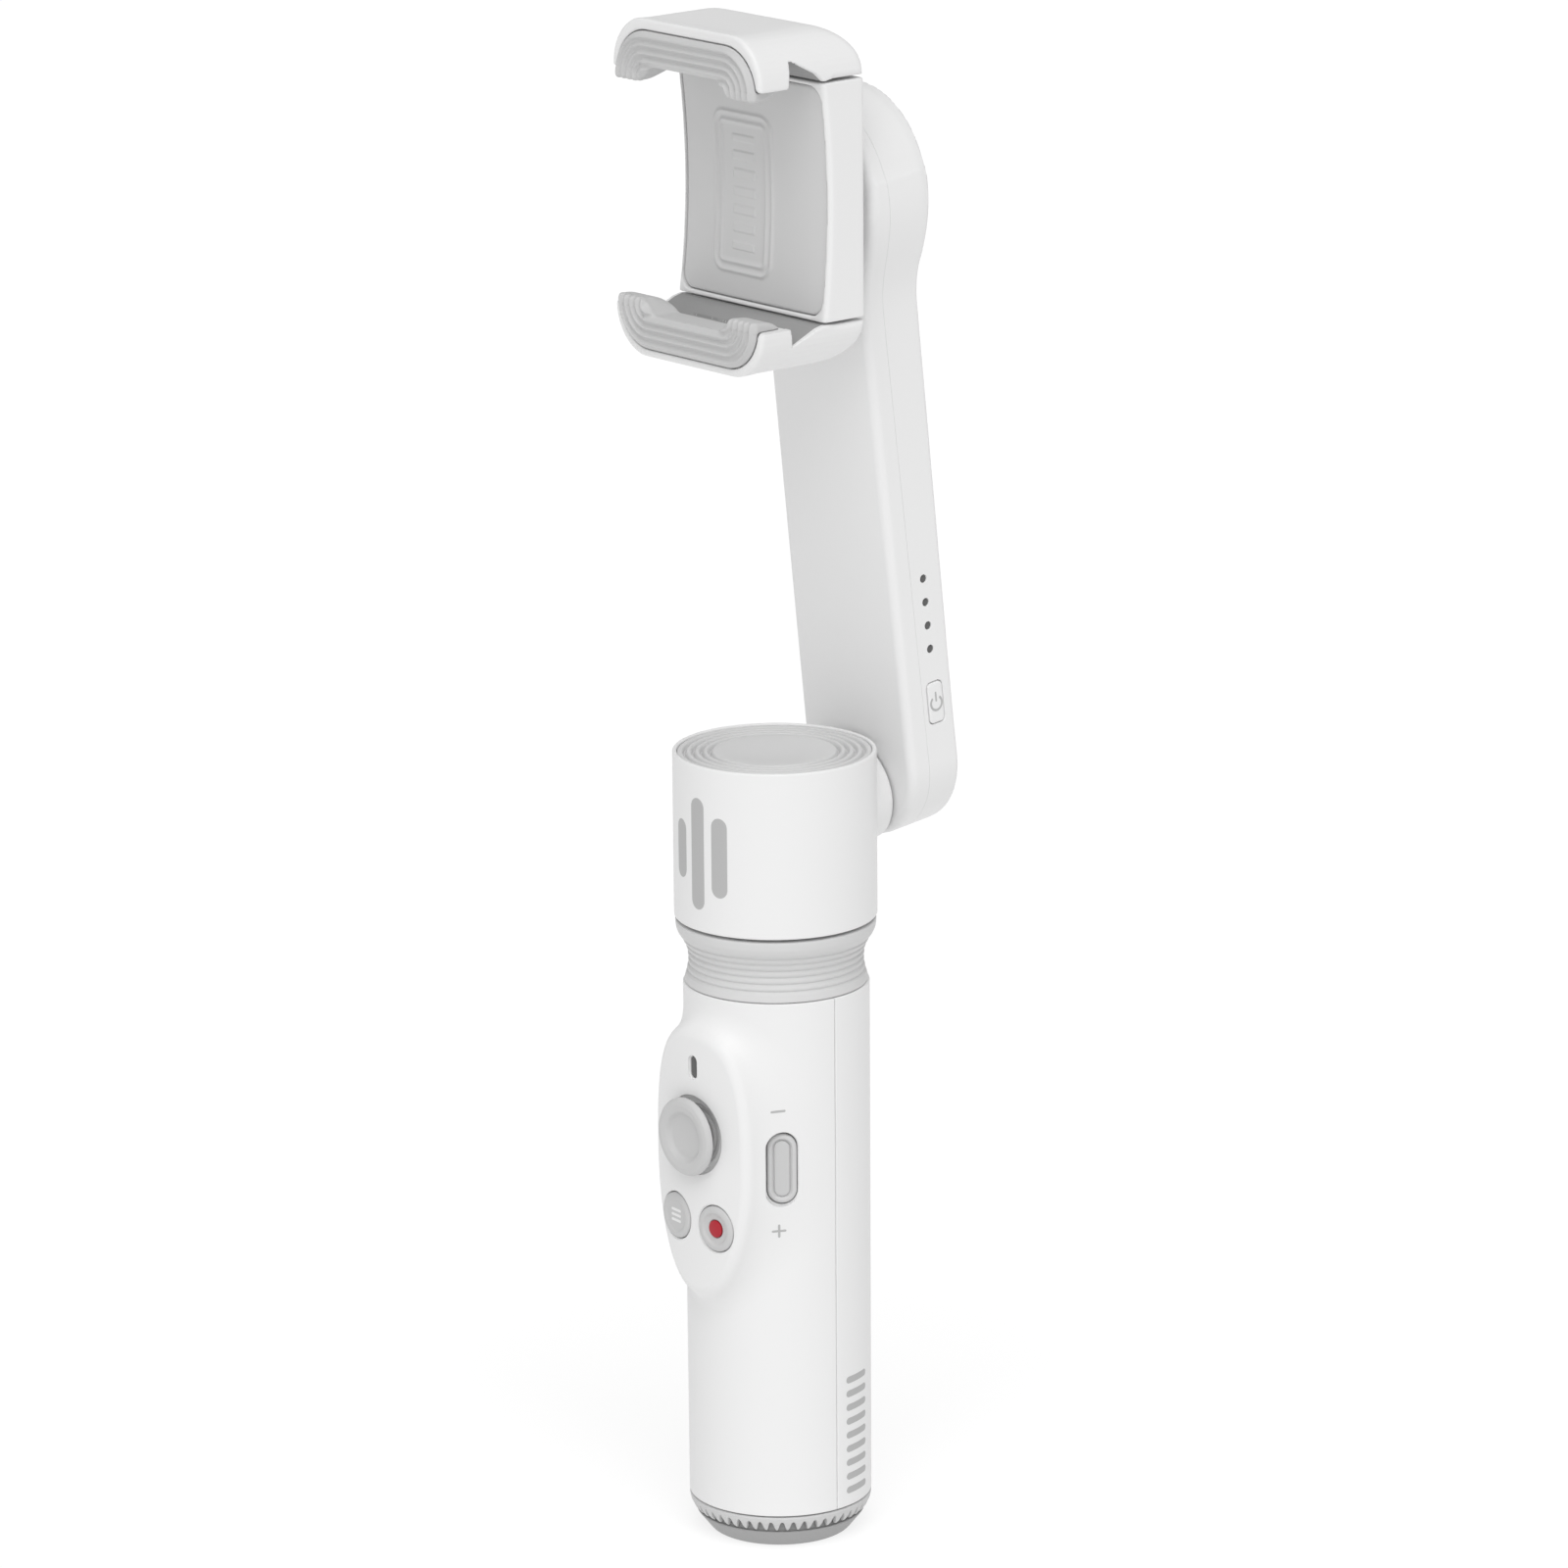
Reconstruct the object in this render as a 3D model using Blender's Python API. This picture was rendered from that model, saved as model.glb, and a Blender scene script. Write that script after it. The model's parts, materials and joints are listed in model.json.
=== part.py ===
"""A folding two-axis phone gimbal with a telescopic rod in its handle.

Lengths are in millimetres and become metres in to_object. The origin is the centre of the foot's
underside, +Z runs up the handle, -Y is the side of the control panel and +X that of the zoom rocker.
"""

import math

import bmesh
import bpy
from mathutils import Matrix, Vector

MM = 0.001
GAP = 0.3  # between fixed neighbours
FIT = 0.2  # around buttons and windows
WALL = 1.7

# Foot and handle
FOOT_TOP = 3.0
RING_TOP = 6.8
HANDLE_BOTTOM = 7.1
HANDLE_TOP = 106.2
HANDLE_R_BOTTOM = 17.0
HANDLE_R_TOP = 17.2
SEAM_Y = -0.6
NOTCHES = 44
SOCKET_R = 3.15  # major radius of a 1/4 inch tripod thread
INSERT_R = 4.8

# Control panel on the front of the handle
PANEL_Y = -20.1
PANEL_CURVE_R = 58.0
PANEL_HALF_WIDTH = 12.5
PANEL_TOP = 99.5
PANEL_MIDDLE = 76.0
PANEL_BOTTOM = 50.0
PANEL_POINTS = 32
STICK_Z = 80.3
STICK_PIVOT_Y = -16.5
STICK_HOLE_R = 8.35
STICK_CAP_R = 7.45
BUTTON_X = 5.57
BUTTON_Z = 63.4
BUTTON_R = 4.3
BUTTON_TILT = math.asin(BUTTON_X / PANEL_CURVE_R)
BUTTON_FACE = PANEL_CURVE_R + 0.4  # from the centre of the panel's curve
WINDOW_Z = 93.2
ROCKER_ANGLE = math.radians(-38.0)
ROCKER_Z = 75.0
ROCKER_SIZE = (5.5, 13.3)
ROCKER_PIVOT_R = 14.0

# Telescopic rod, outermost stage first
ROD_STAGES = 4
ROD_BOTTOM = 13.5
ROD_TOP = 106.0
ROD_OUTER_R = 7.1
ROD_STEP = 1.15
ROD_WALL = 0.8

# Neck collar and head
NECK_BOTTOM = 106.5
NECK_TOP = 118.2
NECK_WAIST = ((16.4, 108.2), (16.1, 110.0), (16.3, 112.4), (17.2, 114.4), (18.3, 116.0))
HEAD_BOTTOM = 118.8
HEAD_TOP = 150.0
HEAD_R = 18.7
BEARING_R = 7.7

# Arm: hinge point on its front face, and its lean towards the front
HINGE = Vector((0.0, 20.8, 138.9))
ARM_LEAN = math.radians(6.6)
BOSS_R = 9.7
HINGE_PIN_R = 3.2
ARM_THICK = 12.0
ARM_END_R = 15.0
ARM_END_U = 5.8
ARM_NECK_U = 90.0
ARM_HALF_TOP = 14.2
ARM_FLARE = ((ARM_NECK_U, 0.0), (95.0, 0.35), (99.0, 1.0), (103.0, 2.1), (107.0, 3.2), (113.0, 3.3))
ARM_EDGE = ((0.0, 2.4), (0.7, 0.8), (2.3, 0.0), (9.7, 0.0), (11.3, 0.8), (ARM_THICK, 2.4))
ARM_SPLIT = 4.4
ARM_KEY_V = 7.5  # line of the power button and the battery lights
POWER_U = 17.3
LIGHT_U = 27.6
LIGHT_PITCH = 4.5
LIGHT_R = 0.85

# Roll motor at the arm's top, its axis along Y
ROLL_Z = 252.6
ROLL_R = 18.5
ROLL_FRONT_Y = 8.2
ROLL_BACK_Y = 21.5

# Phone clamp
CLAMP_Z = 254.35
CLAMP_HALF_X = 20.4
PLATE_HALF_Z = 21.65
PLATE_BACK_Y = 5.0
PLATE_FRONT_Y = -4.8
PLATE_HOLLOW = 1.6
LIP_FRONT_Y = -20.5
LIP_BACK_Y = -12.4
JAW_TOP = 31.2  # above the clamp's middle
PINION_TEETH = 10
PINION_R = 4.0


# ---------------------------------------------------------------- materials


def plastic(name, color, roughness, metallic=0.0):
    material = bpy.data.materials.new(name)
    material.use_nodes = True
    shader = material.node_tree.nodes["Principled BSDF"]
    shader.inputs["Base Color"].default_value = (*color, 1.0)
    shader.inputs["Roughness"].default_value = roughness
    shader.inputs["Metallic"].default_value = metallic
    material.diffuse_color = (*color, 1.0)
    return material


def make_materials():
    return {
        "white": plastic("white plastic", (0.84, 0.84, 0.84), 0.4),
        "grey": plastic("grey rubber", (0.50, 0.50, 0.50), 0.6),
        "foot": plastic("dark grey foot", (0.30, 0.30, 0.30), 0.6),
        "dark": plastic("dark window", (0.09, 0.09, 0.09), 0.2),
        "red": plastic("red mark", (0.38, 0.02, 0.03), 0.4),
        "brass": plastic("brass", (0.70, 0.50, 0.22), 0.35, 1.0),
        "steel": plastic("steel", (0.55, 0.56, 0.58), 0.3, 1.0),
        "board": plastic("circuit board", (0.03, 0.16, 0.08), 0.5),
        "battery": plastic("battery wrap", (0.10, 0.13, 0.20), 0.5),
        "copper": plastic("copper winding", (0.72, 0.32, 0.16), 0.4, 1.0),
    }


# ------------------------------------------------------------- shape helpers


def to_object(mesh_data, name):
    """A closed bmesh in millimetres as an object in metres, smooth but for its sharp edges."""
    bmesh.ops.scale(mesh_data, vec=(MM, MM, MM), verts=mesh_data.verts)
    bmesh.ops.remove_doubles(mesh_data, verts=mesh_data.verts, dist=1e-6)
    bmesh.ops.recalc_face_normals(mesh_data, faces=mesh_data.faces)
    mesh = bpy.data.meshes.new(name)
    mesh_data.to_mesh(mesh)
    mesh_data.free()
    thing = bpy.data.objects.new(name, mesh)
    bpy.context.scene.collection.objects.link(thing)
    return thing


def turned(name, profile, segments=48):
    """A closed outline of (radius, z) points spun round Z."""
    shape = bmesh.new()
    points = [shape.verts.new((r, 0.0, z)) for r, z in profile]
    for start, end in zip(points, points[1:] + points[:1]):
        if start.co.x > 0 or end.co.x > 0:
            shape.edges.new((start, end))
    bmesh.ops.spin(
        shape, geom=shape.verts[:] + shape.edges[:], cent=(0, 0, 0), axis=(0, 0, 1),
        angle=math.tau, steps=segments, use_merge=True,
    )
    return to_object(shape, name)


def cylinder(name, radius, low, high, segments=32):
    return turned(name, [(0.0, low), (radius, low), (radius, high), (0.0, high)], segments)


def tube(name, inner, outer, low, high, segments=32):
    return turned(name, [(inner, low), (outer, low), (outer, high), (inner, high)], segments)


def lofted(name, rings):
    """Rings of equal numbers of 3-D points, joined in order and capped at both ends."""
    shape = bmesh.new()
    loops = [[shape.verts.new(point) for point in ring] for ring in rings]
    for lower, upper in zip(loops, loops[1:]):
        for i in range(len(lower)):
            j = (i + 1) % len(lower)
            shape.faces.new((lower[i], lower[j], upper[j], upper[i]))
    shape.faces.new(loops[0])
    shape.faces.new(loops[-1])
    return to_object(shape, name)


def prism(name, outline, low, high, axis="Y"):
    """A flat outline extruded: (x, z) points along Y, (y, z) points along X or (x, y) along Z."""
    place = {
        "X": lambda p, h: (h, p[0], p[1]),
        "Y": lambda p, h: (p[0], h, p[1]),
        "Z": lambda p, h: (p[0], p[1], h),
    }[axis]
    return lofted(name, [[place(p, low) for p in outline], [place(p, high) for p in outline]])


def box(name, low, high):
    outline = [(low[0], low[2]), (high[0], low[2]), (high[0], high[2]), (low[0], high[2])]
    return prism(name, outline, low[1], high[1])


def arc(center, radius, start, end, steps):
    """Points from one angle to another, in degrees."""
    angles = [math.radians(start + (end - start) * i / steps) for i in range(steps + 1)]
    return [(center[0] + radius * math.cos(a), center[1] + radius * math.sin(a)) for a in angles]


def rounded_box(half_width, half_height, radius, steps=5):
    x, z = half_width - radius, half_height - radius
    corners = ((x, z, 0), (-x, z, 90), (-x, -z, 180), (x, -z, 270))
    return [p for cx, cz, a in corners for p in arc((cx, cz), radius, a, a + 90, steps)]


def transformed(thing, matrix):
    """The mesh moved by a matrix whose lengths are in millimetres."""
    in_metres = matrix.copy()
    in_metres.translation = matrix.translation * MM
    thing.data.transform(in_metres)
    return thing


def along_y(thing, center=(0.0, 0.0, 0.0)):
    """A shape turned about Z, laid so that its axis runs along Y."""
    return transformed(thing, Matrix.Translation(center) @ Matrix.Rotation(-math.pi / 2, 4, "X"))


def along_x(thing):
    return transformed(thing, Matrix.Rotation(math.pi / 2, 4, "Y"))


def moved(thing, offset):
    return transformed(thing, Matrix.Translation(offset))


def combined(thing, tools, operation="DIFFERENCE"):
    """The object after a Boolean with each tool. The tools are used up."""
    for tool in tools:
        step = thing.modifiers.new("step", "BOOLEAN")
        step.operation = operation
        step.object = tool
        step.solver = "EXACT"
    bpy.context.view_layer.update()
    graph = bpy.context.evaluated_depsgraph_get()
    result = bpy.data.meshes.new_from_object(thing.evaluated_get(graph))
    thing.modifiers.clear()
    thing.data = result
    for tool in tools:
        bpy.data.objects.remove(tool)
    return thing


def copied(thing, name):
    twin = thing.copy()
    twin.data = thing.data.copy()
    twin.name = name
    bpy.context.scene.collection.objects.link(twin)
    return twin


def axis_empty(name, origin, parent=None, lean=0.0):
    """An empty on a joint's axis. A moving sub-part is parented to it."""
    empty = bpy.data.objects.new(name, None)
    empty.empty_display_size = 0.01
    bpy.context.scene.collection.objects.link(empty)
    empty.rotation_euler = (lean, 0.0, 0.0)
    empty.location = Vector(origin) * MM
    if parent:
        bpy.context.view_layer.update()
        empty.parent = parent
        empty.matrix_parent_inverse = parent.matrix_world.inverted()
    bpy.context.view_layer.update()
    return empty


def finish(thing, name, material, parent=None, local=False):
    """Names and colours a sub-part and hangs it on its empty; local means modelled in the empty's frame."""
    thing.name = name
    thing.data.name = name
    thing.data.materials.clear()
    thing.data.materials.append(material)
    thing.data.shade_smooth()
    thing.data.set_sharp_from_angle(angle=math.radians(35))
    if parent:
        thing.parent = parent
        if not local:
            origin = parent.matrix_world.inverted()
            thing.data.transform(origin)
    return thing


# ------------------------------------------------------------ foot and handle


def foot_parts(paint):
    foot = turned("foot", [
        (INSERT_R + GAP, 0.0), (13.0, 0.0), (14.3, 1.7), (15.5, FOOT_TOP), (INSERT_R + GAP, FOOT_TOP),
    ], NOTCHES)
    finish(foot, "base_foot", paint["foot"])

    spigot_r = HANDLE_R_BOTTOM - WALL - GAP
    low = FOOT_TOP + GAP
    ring = turned("ring", [
        (INSERT_R + GAP, low), (15.7, low), (16.35, 4.6), (16.75, 5.6), (17.0, RING_TOP),
        (spigot_r, RING_TOP), (spigot_r, 10.0), (INSERT_R + GAP, 10.0),
    ], NOTCHES)
    ring = combined(ring, [notch_cutter(low)])
    finish(ring, "base_ring", paint["grey"])

    insert = tube("insert", SOCKET_R, INSERT_R, 0.3, 9.6, 32)
    finish(insert, "tripod_insert", paint["brass"])


def notch_cutter(low):
    """A comb of small blocks that cuts the ring's lower edge into grip notches."""
    shape = bmesh.new()
    for i in range(NOTCHES):
        spot = Matrix.Rotation(math.tau * (i + 0.5) / NOTCHES, 4, "Z") @ Matrix.Translation((16.6, 0, low))
        block = bmesh.ops.create_cube(shape, size=1.0)["verts"]
        bmesh.ops.scale(shape, vec=(1.8, 0.75, 3.4), verts=block)
        bmesh.ops.transform(shape, matrix=spot, verts=block)
    return to_object(shape, "notches")


def panel_outline(inset):
    """Half-widths of the egg-shaped panel: squarer above its middle, rounder below."""
    width = PANEL_HALF_WIDTH - inset
    points = []
    for i in range(PANEL_POINTS):
        angle = math.tau * i / PANEL_POINTS
        c, s = math.cos(angle), math.sin(angle)
        power = 2.8 if s > 0 else 2.1
        height = (PANEL_TOP - PANEL_MIDDLE if s > 0 else PANEL_MIDDLE - PANEL_BOTTOM) - inset
        x = math.copysign(abs(c) ** (2 / power), c) * width
        z = PANEL_MIDDLE + math.copysign(abs(s) ** (2 / power), s) * height
        points.append((x, z))
    return points


def panel_body(name, inset):
    """The bulge of the control panel, grown inwards by inset, with a front that curves across X."""
    rims = ((-6.0, -1.0), (-16.4, -0.7), (-18.4, 0.0), (-19.4, 0.7), (-19.9, 1.8))
    rings = []
    for y, edge in rims:
        ring = panel_outline(edge + inset)
        rings.append([(x, y + inset + bow(x), z) for x, z in ring])
    for scale in (0.6, 0.06):
        ring = [(x * scale, PANEL_MIDDLE + (z - PANEL_MIDDLE) * scale) for x, z in panel_outline(1.8 + inset)]
        rings.append([(x, PANEL_Y + inset + bow(x), z) for x, z in ring])
    return lofted(name, rings)


def bow(x):
    """How far the panel's front falls back at x."""
    return x * x / (2 * PANEL_CURVE_R)


def handle_parts(paint):
    body = turned("body", [
        (0.0, HANDLE_BOTTOM), (HANDLE_R_BOTTOM, HANDLE_BOTTOM), (HANDLE_R_TOP, HANDLE_TOP - 0.5),
        (HANDLE_R_TOP - 0.5, HANDLE_TOP), (0.0, HANDLE_TOP),
    ], 56)
    body = combined(body, [panel_body("panel", 0.0)], "UNION")
    hollow = turned("hollow", [
        (0.0, 0.0), (HANDLE_R_BOTTOM - WALL, 0.0), (HANDLE_R_TOP - WALL, HANDLE_TOP - WALL),
        (0.0, HANDLE_TOP - WALL),
    ], 36)
    hollow = combined(hollow, [panel_body("hollow_panel", WALL)], "UNION")
    rod_hole = cylinder("rod_hole", 8.7, 90.0, 120.0, 32)
    body = combined(body, [hollow, rod_hole])

    rear = copied(body, "rear")
    half = 0.15
    rear = combined(rear, [box("front_half", (-30, -30, -5), (30, SEAM_Y + half, 130))])
    finish(rear, "handle_rear_shell", paint["white"])

    front = combined(body, [box("rear_half", (-30, SEAM_Y - half, -5), (30, 30, 130))] + panel_cutters())
    finish(front, "handle_front_shell", paint["white"])

    casing = turned("casing", [
        (0.0, 12.0), (8.4, 12.0), (8.4, ROD_TOP), (7.45, ROD_TOP), (7.45, 13.0), (0.0, 13.0),
    ], 32)
    finish(casing, "rod_housing_tube", paint["steel"])

    board = box("board", (-10.0, -10.8, 54.0), (8.0, -9.6, 98.0))
    finish(board, "control_board", paint["board"])

    window = prism("window", rounded_box(0.8, 1.9, 0.79, 4), PANEL_Y + 0.15, PANEL_Y + 3.0)
    finish(moved(window, (0.0, 0.0, WINDOW_Z)), "status_light_window", paint["dark"])


def panel_cutters():
    stick = along_y(cylinder("stick_hole", STICK_HOLE_R, -24.0, -12.0, 36), (0.0, 0.0, STICK_Z))
    window = prism("window_slot", rounded_box(0.8 + FIT, 1.9 + FIT, 0.98, 4), -24.0, -12.0)
    cutters = [stick, moved(window, (0.0, 0.0, WINDOW_Z))]
    for side in (-1, 1):
        hole = cylinder("button_hole", BUTTON_R + FIT, PANEL_CURVE_R - 8.0, PANEL_CURVE_R + 4.0, 28)
        cutters.append(transformed(hole, button_place(side)))
    slot = rounded_box(ROCKER_SIZE[0] / 2 + FIT, ROCKER_SIZE[1] / 2 + FIT + 0.1, 2.8, 6)
    cutters.append(transformed(prism("rocker_slot", slot, -22.0, -12.0), rocker_place()))
    return cutters


def button_place(side):
    """From a shape turned about Z, whose z is its distance from the centre of the panel's curve."""
    turn = Matrix.Rotation(side * BUTTON_TILT, 4, "Z") @ Matrix.Rotation(math.pi / 2, 4, "X")
    return Matrix.Translation((0.0, PANEL_Y + PANEL_CURVE_R, BUTTON_Z)) @ turn


def rocker_place():
    """From a frame whose -Y looks out of the rocker to the handle."""
    return Matrix.Translation((0.0, 0.0, ROCKER_Z)) @ Matrix.Rotation(ROCKER_ANGLE + math.pi / 2, 4, "Z")


# ------------------------------------------------------------------- controls


def joystick_parts(paint):
    base = along_y(cylinder("base", 7.0, -12.1, -11.1, 32), (0.0, 0.0, STICK_Z))
    for side in (-1, 1):
        low = (min(side * 5.0, side * 6.2), -17.6, STICK_Z - 1.4)
        high = (max(side * 5.0, side * 6.2), -11.5, STICK_Z + 1.4)
        base = combined(base, [box("lug", low, high)], "UNION")
    finish(base, "joystick_base", paint["foot"])

    tilt = axis_empty("joystick_tilt_axis", (0.0, STICK_PIVOT_Y, STICK_Z))
    ring = along_y(tube("ring", 3.4, 4.6, -0.8, 0.8, 32), (0.0, STICK_PIVOT_Y, STICK_Z))
    finish(ring, "joystick_gimbal_ring", paint["steel"], tilt)

    pan = axis_empty("joystick_pan_axis", (0.0, STICK_PIVOT_Y, STICK_Z), tilt)
    cap = turned("cap", [
        (0.0, 14.0), (2.3, 14.0), (2.3, 20.6), (6.6, 20.6), (7.3, 21.0), (STICK_CAP_R, 21.7),
        (7.2, 22.7), (6.1, 23.1), (4.4, 22.5), (0.0, 22.0),
    ], 32)
    cap = transformed(cap, Matrix.Translation((0.0, 0.0, STICK_Z)) @ Matrix.Rotation(math.pi / 2, 4, "X"))
    finish(cap, "joystick_cap", paint["grey"], pan)


def button_parts(paint):
    """Two round panel buttons, each with a plunger towards its switch on the board."""
    for side, name in ((-1, "mode_button"), (1, "record_button")):
        empty = axis_empty(name + "_slide", button_place(side) @ Vector((0.0, 0.0, BUTTON_FACE)))
        tip, back = BUTTON_FACE - 6.1, BUTTON_FACE - 3.7
        profile = [
            (0.0, tip), (1.6, tip), (1.6, back), (BUTTON_R, back), (BUTTON_R, BUTTON_FACE - 0.3),
            (BUTTON_R - 0.3, BUTTON_FACE), (0.0, BUTTON_FACE),
        ]
        if side > 0:
            profile = profile[:-1] + [(1.9, BUTTON_FACE), (1.9, BUTTON_FACE - 0.8), (0.0, BUTTON_FACE - 0.8)]
        finish(transformed(turned("button", profile, 28), button_place(side)), name, paint["grey"], empty)
        if side > 0:
            dot = cylinder("dot", 1.7, BUTTON_FACE - 0.6, BUTTON_FACE + 0.05, 24)
            finish(transformed(dot, button_place(side)), "record_dot", paint["red"], empty)


def rocker_parts(paint):
    pivot = rocker_place() @ Vector((0.0, -ROCKER_PIVOT_R, 0.0))
    empty = axis_empty("zoom_rocker_axis", pivot)
    half_x, half_z = ROCKER_SIZE[0] / 2, ROCKER_SIZE[1] / 2
    steps = ((-12.8, 0.0), (-17.5, 0.0), (-17.95, 0.35), (-18.05, 0.9), (-17.7, 1.6), (-17.6, 2.4))
    rings = []
    for y, inset in steps:
        outline = rounded_box(half_x - inset, half_z - inset, max(half_x - 0.15 - inset, 0.3), 6)
        rings.append([(x, y, z) for x, z in outline])
    rocker = lofted("rocker", rings)
    on_pivot = (0.0, -ROCKER_PIVOT_R, 0.0)
    pin_hole = moved(along_x(cylinder("pin_hole", 0.85, -9.0, 9.0, 16)), on_pivot)
    rocker = transformed(combined(rocker, [pin_hole]), rocker_place())
    finish(rocker, "zoom_rocker", paint["grey"], empty)

    pin = moved(along_x(cylinder("pin", 0.6, -3.7, 3.7, 16)), on_pivot)
    finish(transformed(pin, rocker_place()), "zoom_rocker_pin", paint["steel"])


# ----------------------------------------------------------- rod, neck, head


def rod_parts(paint):
    """Nested tubes, each sliding in the one before. Returns the empty of the innermost one."""
    parent = None
    for stage in range(1, ROD_STAGES + 1):
        outer = ROD_OUTER_R - (stage - 1) * ROD_STEP
        low = ROD_BOTTOM + 0.4 * (stage - 1)
        top = ROD_TOP if stage < ROD_STAGES else NECK_TOP - 3.0
        parent = axis_empty(f"rod_slide_{stage}", (0.0, 0.0, low), parent)
        name = f"rod_stage_{stage}"
        finish(tube(name, outer - ROD_WALL, outer, low, top, 28), name, paint["steel"], parent)
    return parent


def neck_parts(paint, rod_tip):
    """The waisted rubber collar and the fixed half of the pan motor."""
    profile = [(3.95, NECK_BOTTOM), (16.9, NECK_BOTTOM)] + list(NECK_WAIST)
    profile += [(18.5, NECK_TOP), (5.0, NECK_TOP), (5.0, NECK_TOP - 2.7), (3.95, NECK_TOP - 2.7)]
    finish(turned("collar", profile, 48), "neck_collar", paint["grey"], rod_tip)

    axle = tube("axle", 2.4, 4.4, NECK_TOP - 2.2, 138.0, 28)
    finish(axle, "pan_axle", paint["steel"], rod_tip)
    stator = motor_stator("pan_stator", 4.8, 12.6, 120.0, 129.2)
    finish(stator, "pan_motor_stator", paint["copper"], rod_tip)


def motor_stator(name, bore, radius, low, high, teeth=9):
    """A wound stator: a hub with flat-tipped teeth."""
    outline = []
    for i in range(teeth):
        for share, r in ((-0.36, radius), (0.36, radius), (0.22, radius - 1.4), (0.22, radius * 0.62)):
            angle = math.tau * (i + share) / teeth
            outline.append((r * math.cos(angle), r * math.sin(angle)))
        for share, r in ((0.78, radius * 0.62), (0.78, radius - 1.4)):
            angle = math.tau * (i + share) / teeth
            outline.append((r * math.cos(angle), r * math.sin(angle)))
    stator = prism(name, outline, low, high, "Z")
    return combined(stator, [cylinder("bore", bore, low - 1, high + 1, 28)])


def head_parts(paint, rod_tip):
    """The turning head: shell with the fold boss, ribbed top disc and the pan motor's rotor."""
    pan = axis_empty("pan_axis", (0.0, 0.0, HEAD_BOTTOM), rod_tip)
    recess_r, recess_z = 17.9, HEAD_TOP - 2.1
    shell = turned("shell", [
        (0.0, HEAD_BOTTOM), (HEAD_R - 0.3, HEAD_BOTTOM), (HEAD_R, HEAD_BOTTOM + 0.3),
        (HEAD_R, HEAD_TOP - 0.8), (18.45, HEAD_TOP - 0.2), (18.1, HEAD_TOP), (0.0, HEAD_TOP),
    ], 56)
    boss = transformed(cylinder("boss", BOSS_R, 4.0, HINGE.y - GAP - 0.1, 48), hinge_line())
    cavity = cylinder("cavity", HEAD_R - WALL, HEAD_BOTTOM - 5.0, recess_z - 1.6, 48)
    bore = transformed(cylinder("bore", 4.9, 10.0, 30.0, 32), hinge_line())
    recess = cylinder("recess", recess_r, recess_z, HEAD_TOP + 5.0, 56)
    shell = combined(combined(shell, [boss], "UNION"), [cavity, bore, recess])
    finish(shell, "head_shell", paint["white"], pan)

    disc = turned("disc", [
        (0.0, recess_z + GAP), (17.6, recess_z + GAP), (17.6, 149.5), (17.3, 149.7), (11.6, 149.7),
        (9.0, 149.3), (0.0, 149.1),
    ], 48)
    finish(disc, "head_top_disc", paint["grey"], pan)

    bell = turned("bell", [
        (15.6, 119.6), (16.7, 119.6), (16.7, 132.4), (BEARING_R + GAP, 132.4), (BEARING_R + GAP, 131.0),
        (15.6, 131.0),
    ], 32)
    finish(bell, "pan_rotor_bell", paint["steel"], pan)
    finish(tube("magnets", 13.2, 15.3, 120.0, 129.8, 36), "pan_magnet_ring", paint["dark"], pan)
    finish(tube("bearing", 4.7, BEARING_R, 131.0, 134.6, 32), "pan_bearing", paint["steel"], pan)

    bush = transformed(tube("bush", HINGE_PIN_R + 0.25, 4.6, 14.4, HINGE.y - GAP - 0.1, 28), hinge_line())
    finish(bush, "fold_hinge_bush", paint["brass"], pan)
    return pan


def hinge_line():
    """From a shape turned about Z, whose z is its distance along the hinge, to the tilted hinge."""
    tilt = Matrix.Rotation(ARM_LEAN - math.pi / 2, 4, "X")
    return Matrix.Translation(HINGE) @ tilt @ Matrix.Translation((0.0, 0.0, -HINGE.y))


# ------------------------------------------------------------------------ arm


def arm_outline(inset):
    """The arm seen from the front, in the hinge's frame: round foot, straight sides, flared neck."""
    right = arc((0.0, ARM_END_U), ARM_END_R - inset, -90, 0, 9)
    taper = (ARM_END_R - ARM_HALF_TOP) / (ARM_NECK_U - ARM_END_U)
    for u, flare in ARM_FLARE:
        right.append((ARM_END_R - taper * (min(u, ARM_NECK_U) - ARM_END_U) + flare - inset, u))
    return right + [(-x, u) for x, u in reversed(right[1:])]


def arm_slab(name, inset):
    """The leaning slab with its rounded edges, shrunk by inset on every side."""
    rings = []
    for v, edge in ARM_EDGE:
        depth = inset + v * (ARM_THICK - 2 * inset) / ARM_THICK
        rings.append([(x, depth, u) for x, u in arm_outline(inset + edge)])
    return lofted(name, rings)


def to_arm(thing):
    """A shape modelled in the object's frame, moved into the arm's leaning frame."""
    frame = Matrix.Translation(HINGE) @ Matrix.Rotation(ARM_LEAN, 4, "X")
    return transformed(thing, frame.inverted())


def roll_turned(name, profile, segments):
    """A shape turned about the roll axis: (radius, y) points."""
    return along_y(turned(name, profile, segments), (0.0, 0.0, ROLL_Z))


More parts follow.
